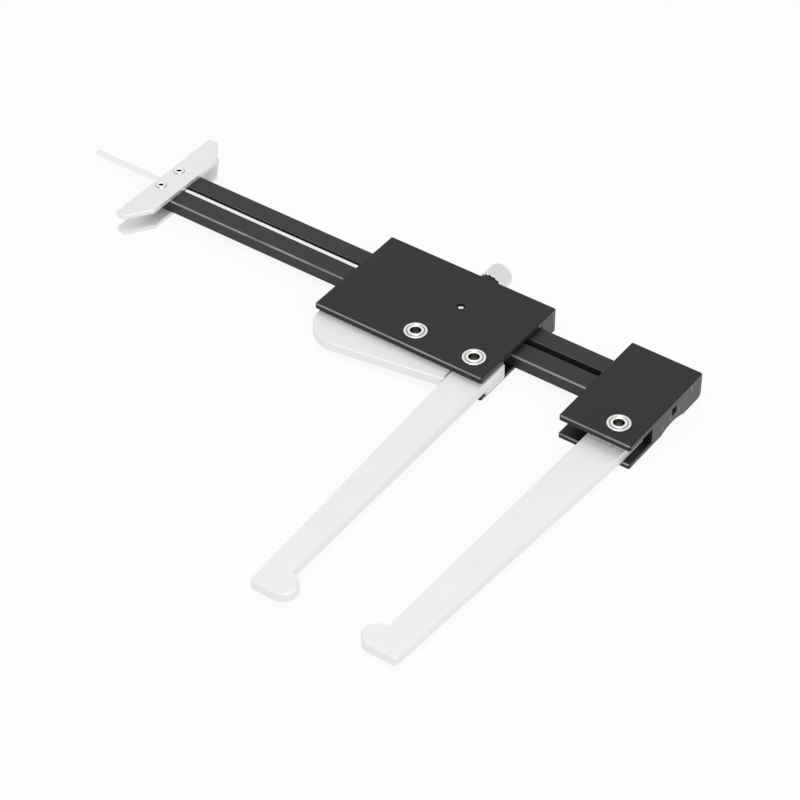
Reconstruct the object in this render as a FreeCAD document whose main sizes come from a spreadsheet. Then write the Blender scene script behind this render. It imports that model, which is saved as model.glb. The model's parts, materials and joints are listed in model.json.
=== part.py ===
import FreeCAD, Part
import math
import os
import Sketcher
from FreeCAD import Placement, Rotation, Vector

# Brake disc measuring caliper, in millimetres.
# It lies on its face: X runs along the rail towards the fixed jaw's end, Y from the jaws to the rail,
# Z up. The origin is on the axis of the fixed arm's hollow rivet, in the plane that the tool rests on.

doc = FreeCAD.newDocument("disc_caliper")
sizes = doc.addObject("Spreadsheet::Sheet", "sizes")

# Driving dimensions. Each is set once here, and every outline, hole and place is worked out from them.
DRIVING_SIZES = {
    # housing and block
    "plate_width": 60.4,
    "top_plate": 3.2,
    "bottom_plate": 2.8,
    "pivot_inset": 10.5,
    "front_bevel": 0.5,
    "corner_round": 1.1,
    # rail and its groove
    "rail_length": 289.2,
    "rail_width": 24.0,
    "rail_thick": 7.0,
    "rail_inset": 37.0,
    "rail_bevel": 0.6,
    "slide_gap": 0.2,
    "seat_gap": 0.05,
    # depth rod
    "rod_diameter": 3.2,
    "rod_gap": 0.3,
    "rod_reach": 41.5,
    "rod_bend": 2.4,
    "rod_hole": 4.0,
    "rod_hole_inset": 36.4,
    "rod_end_depth": 0.5,
    # fixed block
    "block_length": 37.0,
    "block_rivet_inset": 12.5,
    "arm_seat": 8.0,
    "channel_width": 20.0,
    "channel_depth": 2.3,
    "channel_inset": 35.5,
    "wall_round": 2.6,
    # clamp screws that hold the rail in the block
    "clamp_screw": 4.0,
    "clamp_screw_length": 9.0,
    "clamp_spacing": 18.0,
    "clamp_inset": 9.0,
    "clamp_socket": 2.0,
    "clamp_socket_depth": 2.2,
    # carriage housing
    "jaw_opening": 34.3,
    "carriage_length": 92.2,
    "arm_rivet_inset": 11.1,
    "lever_spacing": 32.0,
    "wall_gap": 0.4,
    "rib_width": 5.3,
    "rib_setback": 12.0,
    "window_length": 30.0,
    "window_width": 17.0,
    "window_inset": 47.6,
    "window_bevel": 1.4,
    # gib strip
    "gib_thick": 1.0,
    "gib_height": 6.6,
    "gib_end": 3.5,
    "gib_gap": 0.1,
    # hollow rivets of the pivots
    "rivet_bore": 5.0,
    "rivet_tube": 6.4,
    "rivet_flange": 11.0,
    "rivet_rim": 0.45,
    "rivet_crown": 0.45,
    "rivet_tail": 9.6,
    "tail_thick": 0.8,
    "pivot_gap": 0.05,
    # crosshead
    "crosshead_span": 72.4,
    "crosshead_width": 13.9,
    "crosshead_tip": 5.4,
    "crosshead_flat": 48.0,
    "crosshead_plate": 2.2,
    "crosshead_round": 1.8,
    "crosshead_bevel": 0.25,
    "small_rivet_spacing": 13.8,
    "small_rivet_inset": 4.4,
    "small_rivet_bore": 2.4,
    "small_rivet_tube": 3.4,
    "small_rivet_flange": 5.6,
    "small_rivet_rim": 0.3,
    "small_rivet_crown": 0.3,
    # arms
    "arm_blade": 5.0,
    "arm_reach": 167.3,
    "swing_root_inner": 12.4,
    "swing_root_outer": 5.1,
    "swing_tip_inner": 13.5,
    "swing_tip_outer": 2.05,
    "fixed_root_inner": 11.0,
    "fixed_root_outer": 9.1,
    "fixed_tip_inner": 13.7,
    "fixed_tip_outer": 0.4,
    "root_setback": 2.5,
    "arm_end_gap": 0.2,
    "lobe_diameter": 13.6,
    "lobe_centre": 14.3,
    "lobe_fillet": 1.75,
    "root_round": 2.0,
    "tip_round": 1.5,
    "arm_bevel": 0.4,
    # release lever
    "lever_thick": 5.0,
    "palm_radius": 16.8,
    "palm_centre_x": 30.2,
    "palm_centre_y": 9.3,
    "palm_back": 2.3,
    "nose_radius": 1.5,
    "nose_y": 15.6,
    "nose_gap": 0.3,
    "nose_relief": 0.5,
    "flank_lean": 1.4,
    "lever_back": 2.0,
    "lever_boss": 8.0,
    "lever_round": 1.2,
    "lever_bevel": 0.4,
    # lever spring, its spacer and the stop pin
    "spring_wire": 0.7,
    "spring_radius": 4.6,
    "spring_pitch": 0.72,
    "spring_turns": 1.75,
    "spring_leg": 8.0,
    "spring_bend": 1.0,
    "spring_hook": 1.6,
    "spring_gap": 0.1,
    "spacer_wall": 0.8,
    "stop_pin": 4.0,
    "stop_pin_back": 5.0,
    "stop_gap": 0.1,
    "stop_pin_inset": 0.3,
    "stop_pin_bevel": 0.35,
    # lock screw, its collar, knob and pad
    "lock_inset": 38.7,
    "screw_diameter": 4.0,
    "screw_gap": 0.06,
    "collar_diameter": 12.2,
    "collar_thick": 3.1,
    "collar_bevel": 0.35,
    "spigot_diameter": 7.0,
    "spigot_length": 6.2,
    "knob_diameter": 12.4,
    "knob_length": 10.3,
    "knob_gap": 0.9,
    "knob_bevel": 1.0,
    "flute_count": 16.0,
    "flute_depth": 0.45,
    "flute_width": 1.5,
    "pad_diameter": 4.6,
    "pad_length": 3.4,
    "pad_gap": 0.06,
    "lock_gap": 0.3,
    "tip_diameter": 2.0,
    "tip_length": 1.0,
}
for row, (alias, number) in enumerate(DRIVING_SIZES.items(), start=1):
    sizes.set(f"A{row}", alias)
    sizes.set(f"B{row}", str(number))
    sizes.setAlias(f"B{row}", alias)
doc.recompute()

# Places along Z: the plates, the cavity between them and the rail in it.
BOTTOM = "0"
CAVITY_LOW = "sizes.bottom_plate"
RAIL_LOW = "(sizes.bottom_plate + sizes.slide_gap)"
RAIL_TOP = f"({RAIL_LOW} + sizes.rail_thick)"
CAVITY_TOP = f"({RAIL_TOP} + sizes.slide_gap)"
TOP = f"({CAVITY_TOP} + sizes.top_plate)"
MIDDLE = f"({TOP} / 2)"
BLADE_LOW = f"({RAIL_TOP} - sizes.arm_blade)"
LEVER_LOW = f"({RAIL_TOP} - sizes.lever_thick)"
GROOVE_FLOOR = f"({RAIL_TOP} - sizes.rod_diameter - 2 * sizes.rod_gap)"
ROD_Z = f"({RAIL_TOP} - sizes.rod_gap - sizes.rod_diameter / 2)"
MIDDLE_OF_RAIL = f"(({RAIL_LOW} + {RAIL_TOP}) / 2)"
SPRING_LOW = f"({CAVITY_LOW} + sizes.spring_gap + sizes.spring_wire / 2)"

# Places along Y: the pivots are at 0, the plates' front edge is on the jaws' side.
FRONT = "(-sizes.pivot_inset)"
BACK = "(sizes.plate_width - sizes.pivot_inset)"
RAIL_Y = "(sizes.rail_inset - sizes.pivot_inset)"
RAIL_NEAR = f"({RAIL_Y} - sizes.rail_width / 2)"
RAIL_FAR = f"({RAIL_Y} + sizes.rail_width / 2)"
WALL = f"({RAIL_FAR} + sizes.wall_gap)"
RIB_FAR = f"({RAIL_NEAR} - sizes.slide_gap)"
GIB_FACE = f"({RAIL_FAR} + sizes.slide_gap)"
GIB_BACK = f"({GIB_FACE} + sizes.gib_thick)"
PAD_FACE = f"({RAIL_FAR} + sizes.lock_gap)"
PAD_BACK = f"({PAD_FACE} + sizes.pad_length)"
COLLAR_FACE = f"({BACK} + sizes.collar_thick)"
KNOB_FACE = f"({COLLAR_FACE} + sizes.knob_gap)"
SCREW_END = f"({KNOB_FACE} + sizes.knob_length * 0.7)"
ARM_END = "(sizes.arm_seat - sizes.arm_end_gap)"
ROOT_FRONT = f"({FRONT} + sizes.root_setback)"

# Places along X: the fixed arm's pivot is at 0, the carriage stands at the opening that is shown.
BLOCK_RIGHT = "sizes.block_rivet_inset"
BLOCK_LEFT = f"({BLOCK_RIGHT} - sizes.block_length)"
RAIL_LEFT = f"({BLOCK_RIGHT} - sizes.rail_length)"
LOBE_REACH = "(sizes.lobe_centre + sizes.lobe_diameter / 2)"
ARM_X = f"(-sizes.jaw_opening - 2 * {LOBE_REACH})"
LEVER_X = f"({ARM_X} - sizes.lever_spacing)"
CARRIAGE_RIGHT = f"({ARM_X} + sizes.arm_rivet_inset)"
CARRIAGE_LEFT = f"({CARRIAGE_RIGHT} - sizes.carriage_length)"
ROD_HOLE_X = f"({CARRIAGE_RIGHT} - sizes.rod_hole_inset)"
LOCK_X = f"({CARRIAGE_RIGHT} - sizes.lock_inset)"
WINDOW_X = f"({CARRIAGE_RIGHT} - sizes.window_inset)"
STOP_X = f"({ARM_X} - sizes.swing_root_outer - sizes.stop_gap - sizes.stop_pin / 2)"

# The lever's nose lies a small gap from the swing arm's outer edge, which leans inwards to the tip.
# These and the spring's places are measured from the lever's pivot.
ARM_TAPER = "((sizes.swing_root_outer + sizes.swing_tip_outer) / (sizes.arm_reach - sizes.pivot_inset))"
EDGE_AT_NOSE = f"(-sizes.swing_root_outer + (sizes.nose_y - sizes.pivot_inset) * {ARM_TAPER})"
NOSE_X = f"(sizes.lever_spacing + {EDGE_AT_NOSE} - sizes.nose_gap - sizes.nose_radius)"
FLANK_X = f"({NOSE_X} + sizes.nose_radius - sizes.nose_relief)"
FLANK_TOP_X = f"({FLANK_X} - sizes.flank_lean)"

# The spring's long leg leans on the stop pin, and its short leg hooks into the lever.
PIN_DX = f"({STOP_X} - {LEVER_X})"
PIN_DISTANCE = f"sqrt({PIN_DX} ^ 2 + sizes.stop_pin_back ^ 2)"
LEG_OFFSET = "(sizes.spring_radius - sizes.stop_pin / 2 - sizes.spring_wire / 2 - sizes.stop_gap)"
SPRING_ANGLE = f"(atan(sizes.stop_pin_back / {PIN_DX}) + asin({LEG_OFFSET} / {PIN_DISTANCE}))"
HOOK_REACH = "(sizes.spring_leg + sizes.spring_bend)"
HOOK_X = f"(sizes.spring_radius * cos({SPRING_ANGLE}) + {HOOK_REACH} * sin({SPRING_ANGLE}))"
HOOK_Y = f"(sizes.spring_radius * sin({SPRING_ANGLE}) - {HOOK_REACH} * cos({SPRING_ANGLE}))"

PIVOT_HOLE = "(sizes.rivet_tube + 2 * sizes.pivot_gap)"
SMALL_HOLE = "(sizes.small_rivet_tube + 2 * sizes.pivot_gap)"
TAIL_HOLE = "(sizes.rivet_tail + 2 * sizes.pivot_gap)"


def value(expression):
    """Number that an expression over the sheet gives now."""
    result = sizes.evalExpression(expression)
    return float(getattr(result, "Value", result))


def new_body(label):
    """Empty body whose label names the piece."""
    body = doc.addObject("PartDesign::Body", label)
    body.Label = label
    return body


def new_sketch(body, name, role, offset):
    """Sketch on one of the body's own origin planes, moved along that plane's normal."""
    plane = next(feature for feature in body.Origin.OriginFeatures if feature.Role == role)
    sketch = body.newObject("Sketcher::SketchObject", name)
    sketch.AttachmentSupport = [(plane, "")]
    sketch.MapMode = "FlatFace"
    sketch.AttachmentOffset = Placement(Vector(0, 0, value(offset)), Rotation())
    sketch.setExpression("AttachmentOffset.Base.z", offset)
    return sketch


def fix_point(sketch, geometry, point, x, y):
    """Hold a sketch point at two expressions, measured from the sketch's origin."""
    for kind, expression in (("DistanceX", x), ("DistanceY", y)):
        index = sketch.addConstraint(
            Sketcher.Constraint(kind, -1, 1, geometry, point, value(expression)))
        sketch.setExpression(f"Constraints[{index}]", expression)


def draw_polygon(sketch, corners):
    """Closed outline of straight edges. Each corner is a pair of expressions."""
    points = [Vector(value(x), value(y), 0) for x, y in corners]
    lines = [sketch.addGeometry(Part.LineSegment(start, end), False)
             for start, end in zip(points, points[1:] + points[:1])]
    for line, following in zip(lines, lines[1:] + lines[:1]):
        sketch.addConstraint(Sketcher.Constraint("Coincident", line, 2, following, 1))
    for line, (x, y) in zip(lines, corners):
        fix_point(sketch, line, 1, x, y)


def draw_rectangle(sketch, low_x, low_y, high_x, high_y):
    """Rectangle between two corners, given as expressions."""
    draw_polygon(sketch, [(low_x, low_y), (high_x, low_y), (high_x, high_y), (low_x, high_y)])


def draw_round_backed(sketch, low_x, low_y, high_x, high_y, radius):
    """Rectangle whose two far corners are round."""
    lx, ly, hx, hy, r = (value(item) for item in (low_x, low_y, high_x, high_y, radius))
    corners = [Vector(lx, hy - r, 0), Vector(lx, ly, 0), Vector(hx, ly, 0), Vector(hx, hy - r, 0)]
    near_side, low_side, far_side = (
        sketch.addGeometry(Part.LineSegment(start, end), False)
        for start, end in zip(corners, corners[1:]))
    up = Vector(0, 0, 1)
    right_arc = sketch.addGeometry(
        Part.ArcOfCircle(Part.Circle(Vector(hx - r, hy - r, 0), up, r), 0, math.pi / 2), False)
    top_side = sketch.addGeometry(
        Part.LineSegment(Vector(hx - r, hy, 0), Vector(lx + r, hy, 0)), False)
    left_arc = sketch.addGeometry(
        Part.ArcOfCircle(Part.Circle(Vector(lx + r, hy - r, 0), up, r), math.pi / 2, math.pi), False)
    for line, following in ((near_side, low_side), (low_side, far_side)):
        sketch.addConstraint(Sketcher.Constraint("Coincident", line, 2, following, 1))
    for line, following in ((far_side, right_arc), (right_arc, top_side), (top_side, left_arc),
                            (left_arc, near_side)):
        sketch.addConstraint(Sketcher.Constraint("Tangent", line, 2, following, 1))
    for line in (near_side, far_side):
        sketch.addConstraint(Sketcher.Constraint("Vertical", line))
    fix_point(sketch, low_side, 1, low_x, low_y)
    fix_point(sketch, low_side, 2, high_x, low_y)
    for arc, x in ((right_arc, f"{high_x} - {radius}"), (left_arc, f"{low_x} + {radius}")):
        fix_point(sketch, arc, 3, x, f"{high_y} - {radius}")


def draw_circle(sketch, x, y, diameter):
    """Circle with its centre and diameter bound to expressions."""
    centre = Vector(value(x), value(y), 0)
    circle = sketch.addGeometry(
        Part.Circle(centre, Vector(0, 0, 1), value(diameter) / 2), False)
    index = sketch.addConstraint(Sketcher.Constraint("Diameter", circle, value(diameter)))
    sketch.setExpression(f"Constraints[{index}]", diameter)
    fix_point(sketch, circle, 3, x, y)


def pad(body, sketch, name, length, reverse=False):
    """Grow a sketch along its normal, or against it."""
    feature = body.newObject("PartDesign::Pad", name)
    feature.Profile = sketch
    feature.setExpression("Length", length)
    feature.Reversed = reverse
    doc.recompute()
    return feature


def cut(body, sketch, name, depth, reverse=False):
    """Cut a sketch into the body against its normal, or along it, and make sure that it removes material."""
    before = body.Tip.Shape.Volume
    feature = body.newObject("PartDesign::Pocket", name)
    feature.Profile = sketch
    feature.setExpression("Length", depth)
    feature.Reversed = reverse
    doc.recompute()
    if not feature.Shape.Volume < before - 1e-6:
        raise RuntimeError(f"{body.Label}: {name} cuts nothing")
    return feature


def revolve(body, sketch, name, axis="V_Axis"):
    """Full turn of a half section about one of the sketch's axes."""
    feature = body.newObject("PartDesign::Revolution", name)
    feature.Profile = sketch
    feature.ReferenceAxis = (sketch, [axis])
    feature.Angle = 360
    doc.recompute()
    return feature


def edges_where(shape, test):
    """Names of the edges whose middle point and direction pass a test."""
    names = []
    for number, edge in enumerate(shape.Edges, start=1):
        first, last = edge.ParameterRange
        middle = edge.valueAt((first + last) / 2)
        ends = [vertex.Point for vertex in edge.Vertexes]
        if test(middle, ends):
            names.append(f"Edge{number}")
    return names


def dress(body, kind, name, size, test):
    """Fillet or chamfer the edges that pass a test."""
    base = body.Tip
    names = edges_where(base.Shape, test)
    if not names:
        raise RuntimeError(f"{body.Label}: {name} finds no edge")
    feature = body.newObject(f"PartDesign::{kind}", name)
    feature.Base = (base, names)
    feature.setExpression("Radius" if kind == "Fillet" else "Size", size)
    doc.recompute()
    return feature


def near(number, expression, tolerance=0.02):
    """True where a coordinate lies at an expression's value."""
    return abs(number - value(expression)) < tolerance


def upright_at(*places, within=0.02):
    """Test for the upright edges that stand at given places."""
    spots = [(value(x), value(y)) for x, y in places]

    def test(middle, ends):
        level = abs(ends[0].z - ends[-1].z) < 0.02
        return not level and any(math.hypot(middle.x - x, middle.y - y) < within for x, y in spots)
    return test


def all_at_height(*heights):
    """Test for every edge that lies flat at one of the given heights."""
    levels = [value(height) for height in heights]

    def test(middle, ends):
        points = [middle] + ends
        return any(all(abs(point.z - level) < 0.02 for point in points) for level in levels)
    return test


def place(body, x="0", y="0", z="0"):
    """Put a finished body in its place in the tool."""
    body.Placement = Placement(Vector(value(x), value(y), value(z)), body.Placement.Rotation)
    for axis, expression in (("x", x), ("y", y), ("z", z)):
        body.setExpression(f"Placement.Base.{axis}", expression)


def make_rail():
    """Flat anodised bar with bevelled edges and a blind groove along its top for the depth rod."""
    body = new_body("rail")
    sketch = new_sketch(body, "rail_section", "YZ_Plane", RAIL_LEFT)
    bevel = "sizes.rail_bevel"
    groove_near = f"({RAIL_Y} - sizes.rod_diameter / 2 - sizes.rod_gap)"
    groove_far = f"({RAIL_Y} + sizes.rod_diameter / 2 + sizes.rod_gap)"
    draw_polygon(sketch, [
        (f"{RAIL_NEAR} + {bevel}", RAIL_LOW),
        (f"{RAIL_FAR} - {bevel}", RAIL_LOW),
        (RAIL_FAR, f"{RAIL_LOW} + {bevel}"),
        (RAIL_FAR, f"{RAIL_TOP} - {bevel}"),
        (f"{RAIL_FAR} - {bevel}", RAIL_TOP),
        (groove_far, RAIL_TOP),
        (groove_far, GROOVE_FLOOR),
        (groove_near, GROOVE_FLOOR),
        (groove_near, RAIL_TOP),
        (f"{RAIL_NEAR} + {bevel}", RAIL_TOP),
        (RAIL_NEAR, f"{RAIL_TOP} - {bevel}"),
        (RAIL_NEAR, f"{RAIL_LOW} + {bevel}"),
    ])
    pad(body, sketch, "rail_bar", "sizes.rail_length")
    holes = new_sketch(body, "crosshead_rivet_holes", "XY_Plane", RAIL_TOP)
    draw_small_rivet_circles(holes, SMALL_HOLE)
    cut(body, holes, "rivet_holes", "sizes.rail_thick")
    return body


def draw_small_rivet_circles(sketch, diameter):
    """The crosshead's two rivets stand side by side across the rail."""
    x = f"({RAIL_LEFT} + sizes.small_rivet_inset)"
    draw_circle(sketch, x, f"{RAIL_Y} - sizes.small_rivet_spacing / 2", diameter)
    draw_circle(sketch, x, f"{RAIL_Y} + sizes.small_rivet_spacing / 2", diameter)


def make_crosshead_plate(label, low):
    """One of the two pointed plates that sit on the rail's two sides."""
    body = new_body(label)
    sketch = new_sketch(body, label + "_outline", "XY_Plane", low)
    tip_x = f"({RAIL_LEFT} + sizes.crosshead_tip)"
    inner_x = f"({RAIL_LEFT} + sizes.crosshead_width)"
    half_span = "sizes.crosshead_span / 2"
    half_flat = "sizes.crosshead_flat / 2"
    draw_polygon(sketch, [
        (RAIL_LEFT, f"{RAIL_Y} - {half_span}"),
        (tip_x, f"{RAIL_Y} - {half_span}"),
        (inner_x, f"{RAIL_Y} - {half_flat}"),
        (inner_x, f"{RAIL_Y} + {half_flat}"),
        (tip_x, f"{RAIL_Y} + {half_span}"),
        (RAIL_LEFT, f"{RAIL_Y} + {half_span}"),
    ])
    pad(body, sketch, label + "_blank", "sizes.crosshead_plate")
    dress(body, "Fillet", label + "_tips", "sizes.crosshead_round", upright_at(
        (RAIL_LEFT, f"{RAIL_Y} - {half_span}"),
        (tip_x, f"{RAIL_Y} - {half_span}"),
        (tip_x, f"{RAIL_Y} + {half_span}"),
        (RAIL_LEFT, f"{RAIL_Y} + {half_span}")))
    holes = new_sketch(body, label + "_rivet_holes", "XY_Plane", f"{low} + sizes.crosshead_plate")
    draw_small_rivet_circles(holes, SMALL_HOLE)
    cut(body, holes, label + "_holes", "sizes.crosshead_plate")
    outer_face = low if label == "crosshead_lower_plate" else f"{low} + sizes.crosshead_plate"
    dress(body, "Chamfer", label + "_bevel", "sizes.crosshead_bevel", all_at_height(outer_face))
    return body


def draw_rivet_section(sketch, bore, tube, flange, rim, crown, tail, tail_thick, low, high):
    """Half section of a hollow rivet: flat tail, tube, and a flange that rises to a rolled crown."""
    bore_r = f"{bore} / 2"
    tube_r = f"{tube} / 2"
    crown_r = f"({tube} / 2 + {rim})"
    draw_polygon(sketch, [
        (bore_r, low),
        (f"{tail} / 2", low),
        (f"{tail} / 2", f"{low} + {tail_thick}"),
        (tube_r, f"{low} + {tail_thick}"),
        (tube_r, high),
        (f"{flange} / 2", high),
        (f"{flange} / 2 - {rim} / 2", f"{high} + {rim}"),
        (f"{crown_r} + {crown}", f"{high} + {rim}"),
        (crown_r, f"{high} + {rim} + {crown}"),
        (tube_r, f"{high} + {rim} + {crown}"),
        (bore_r, f"{high} + {rim}"),
    ])


def make_pivot_rivet(label, x):
    """Hollow rivet through both plates, with its tail flush in the underside."""
    body = new_body(label)
    sketch = new_sketch(body, label + "_section", "XZ_Plane", "0")
    draw_rivet_section(sketch, "sizes.rivet_bore", "sizes.rivet_tube", "sizes.rivet_flange",
                       "sizes.rivet_rim", "sizes.rivet_crown", "sizes.rivet_tail",
                       "sizes.tail_thick", BOTTOM, TOP)
    revolve(body, sketch, label + "_turned")
    place(body, x)
    return body


def make_crosshead_rivets():
    """Two small hollow rivets through crosshead plates and rail, kept as one group of two solids."""
    low = f"({RAIL_LOW} - sizes.crosshead_plate - sizes.small_rivet_rim - sizes.small_rivet_crown / 2)"
    plates_low = f"({RAIL_LOW} - sizes.crosshead_plate)"
    high = f"({RAIL_TOP} + sizes.crosshead_plate)"
    bodies = []
    for side, sign in (("near", "-"), ("far", "+")):
        body = new_body(f"crosshead_rivet_{side}")
        sketch = new_sketch(body, f"crosshead_rivet_{side}_section", "XZ_Plane", "0")
        draw_rivet_section(sketch, "sizes.small_rivet_bore", "sizes.small_rivet_tube",
                           "sizes.small_rivet_flange", "sizes.small_rivet_rim",
                           "sizes.small_rivet_crown", "sizes.small_rivet_flange",
                           f"({plates_low} - {low})", low, high)
        revolve(body, sketch, f"crosshead_rivet_{side}_turned")
        place(body, f"{RAIL_LEFT} + sizes.small_rivet_inset",
              f"{RAIL_Y} {sign} sizes.small_rivet_spacing / 2")
        bodies.append(body)
    return group("crosshead_rivets", bodies)


def group(label, bodies):
    """Separate solids of one kind, kept as one compound that names their file."""
    compound = doc.addObject("Part::Compound", label)
    compound.Links = bodies
    doc.recompute()
    return compound


def make_block():
    """Fixed block: arm pocket open to the front, post wall, rail seat and far wall, milled from one bar."""
    body = new_body("fixed_block")
    sketch = new_sketch(body, "block_section", "YZ_Plane", BLOCK_LEFT)
    draw_polygon(sketch, [
        (FRONT, BOTTOM),
        (BACK, BOTTOM),
        (BACK, TOP),
        (FRONT, TOP),
        (FRONT, CAVITY_TOP),
        ("sizes.arm_seat", CAVITY_TOP),
        ("sizes.arm_seat", CAVITY_LOW),
        (FRONT, CAVITY_LOW),
    ])
    pad(body, sketch, "block_bar", "sizes.block_length")
    seat = new_sketch(body, "rail_seat_section", "YZ_Plane", BLOCK_LEFT)
    draw_rectangle(seat, f"{RAIL_NEAR} - sizes.seat_gap", f"{RAIL_LOW} - sizes.seat_gap",
                   f"{RAIL_FAR} + sizes.seat_gap", f"{RAIL_TOP} + sizes.seat_gap")
    cut(body, seat, "rail_seat", "sizes.block_length", reverse=True)
    channel = new_sketch(body, "channel_section", "YZ_Plane", BLOCK_LEFT)
    width, depth = "sizes.channel_width", "sizes.channel_depth"
    channel_diameter = f"(({width} ^ 2 / 4 + {depth} ^ 2) / {depth})"
    draw_circle(channel, "sizes.channel_inset - sizes.pivot_inset",
                f"{depth} - {channel_diameter} / 2", channel_diameter)
    cut(body, channel, "underside_channel", "sizes.block_length", reverse=True)
    drill_pivot(body, "fixed_arm_pivot", [("0", "0")])
    screws = new_sketch(body, "clamp_screw_places", "XZ_Plane", f"-{BACK}")
    for x in clamp_places():
        draw_circle(screws, x, MIDDLE, "sizes.clamp_screw + 2 * sizes.seat_gap")
    cut(body, screws, "clamp_screw_holes", f"{BACK} - {RAIL_FAR}", reverse=True)
    round_plates(body, "block", BLOCK_LEFT, BLOCK_RIGHT)
    dress(body, "Fillet", "block_wall_round", "sizes.wall_round", lambda middle, ends:
          near(middle.y, BACK) and near(middle.z, BOTTOM) and near(ends[0].z, BOTTOM))
    return body


def clamp_places():
    """Places along the block of the two screws that clamp the rail."""
    first = f"({BLOCK_RIGHT} - sizes.clamp_inset)"
    return [first, f"({first} - sizes.clamp_spacing)"]


def drill_pivot(body, name, places):
    """Holes for hollow rivets through both plates, with a seat for each tail in the underside."""
    holes = new_sketch(body, name + "_places", "XY_Plane", BOTTOM)
    for x, y in places:
        draw_circle(holes, x, y, PIVOT_HOLE)
    cut(body, holes, name + "_holes", TOP, reverse=True)
    seats = new_sketch(body, name + "_tail_places", "XY_Plane", BOTTOM)
    for x, y in places:
        draw_circle(seats, x, y, TAIL_HOLE)
    cut(body, seats, name + "_tail_seats", "sizes.tail_thick", reverse=True)


def round_plates(body, name, left, right):
    """Round the plates' free front corners, then break their front edges."""
    dress(body, "Fillet", name + "_front_corners", "sizes.corner_round",
          upright_at((left, FRONT), (right, FRONT)))
    dress(body, "Chamfer", name + "_front_edges", "sizes.front_bevel", lambda middle, ends:
          near(middle.y, FRONT) and near(ends[0].y, FRONT) and near(ends[-1].y, FRONT)
          and abs(ends[0].z - ends[-1].z) < 0.02)


def make_clamp_screws():
    """Two socket set screws in the block's far wall, kept as one group."""
    bodies = []
    length = "sizes.clamp_screw_length"
    for number, x in enumerate(clamp_places(), start=1):
        body = new_body(f"rail_clamp_screw_{number}")
        sketch = new_sketch(body, f"clamp_screw_{number}_circle", "XZ_Plane", "0")
        draw_circle(sketch, "0", "0", "sizes.clamp_screw")
        pad(body, sketch, f"clamp_screw_{number}_shank", length, reverse=True)
        socket = new_sketch(body, f"clamp_screw_{number}_socket", "XZ_Plane", f"-{length}")
        draw_hexagon(socket, "0", "0", "sizes.clamp_socket / cos(30)")
        cut(body, socket, f"clamp_screw_{number}_key", "sizes.clamp_socket_depth", reverse=True)
        place(body, x, f"{RAIL_FAR} + sizes.seat_gap", MIDDLE)
        bodies.append(body)
    return group("rail_clamp_screws", bodies)


def draw_hexagon(sketch, x, y, across_corners):
    """Regular hexagon about a centre."""
    radius = f"({across_corners} / 2)"
    draw_polygon(sketch, [(f"{x} + {radius} * cos({angle})", f"{y} + {radius} * sin({angle})")
                          for angle in range(0, 360, 60)])


def make_arm(label, side):
    """Measuring arm: thick root between the plates, thinner blade, and a round lobe that meets the disc.

    side is the arm's word in the sheet, because the fixed arm is the wider one.
    """
    body = new_body(label)
    root_inner, root_outer = f"sizes.{side}_root_inner", f"-sizes.{side}_root_outer"
    tip_inner, tip_outer = f"sizes.{side}_tip_inner", f"sizes.{side}_tip_outer"
    tip_y, lobe_y = "-sizes.arm_reach", "(sizes.lobe_diameter / 2 - sizes.arm_reach)"
    blade = new_sketch(body, label + "_blade_outline", "XY_Plane", BLADE_LOW)
    draw_polygon(blade, [
        (root_outer, ARM_END),
        (root_outer, FRONT),
        (tip_outer, tip_y),
        ("sizes.lobe_centre", tip_y),
        ("sizes.lobe_centre", lobe_y),
        (tip_inner, lobe_y),
        (root_inner, FRONT),
        (root_inner, ARM_END),
    ])
    pad(body, blade, label + "_blade", "sizes.arm_blade")
    lobe = new_sketch(body, label + "_lobe_circle", "XY_Plane", BLADE_LOW)
    draw_circle(lobe, "sizes.lobe_centre", lobe_y, "sizes.lobe_diameter")
    pad(body, lobe, label + "_lobe", "sizes.arm_blade")
    corner_y = f"{lobe_y} + sqrt((sizes.lobe_diameter / 2) ^ 2 - (sizes.lobe_centre - {tip_inner}) ^ 2)"
    dress(body, "Fillet", label + "_lobe_fillet", "sizes.lobe_fillet",
          upright_at((tip_inner, corner_y), within=0.4))
    dress(body, "Fillet", label + "_tip_corner", "sizes.tip_round", upright_at((tip_outer, tip_y)))
    dress(body, "Fillet", label + "_root_corners", "sizes.root_round",
          upright_at((root_outer, ARM_END), (root_inner, ARM_END)))
    flat, front = all_at_height(BLADE_LOW, RAIL_TOP), value(FRONT)
    dress(body, "Chamfer", label + "_blade_edges", "sizes.arm_bevel", lambda middle, ends:
          flat(middle, ends) and middle.y < front and all(point.y < front + 0.02 for point in ends))
    root = new_sketch(body, label + "_root_outline", "XY_Plane", RAIL_LOW)
    draw_round_backed(root, root_outer, ROOT_FRONT, root_inner, ARM_END, "sizes.root_round")
    pad(body, root, label + "_root", f"{BLADE_LOW} - {RAIL_LOW}")
    hole = new_sketch(body, label + "_pivot_circle", "XY_Plane", RAIL_TOP)
    draw_circle(hole, "0", "0", PIVOT_HOLE)
    cut(body, hole, label + "_pivot_hole", "sizes.rail_thick")
    return body


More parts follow.
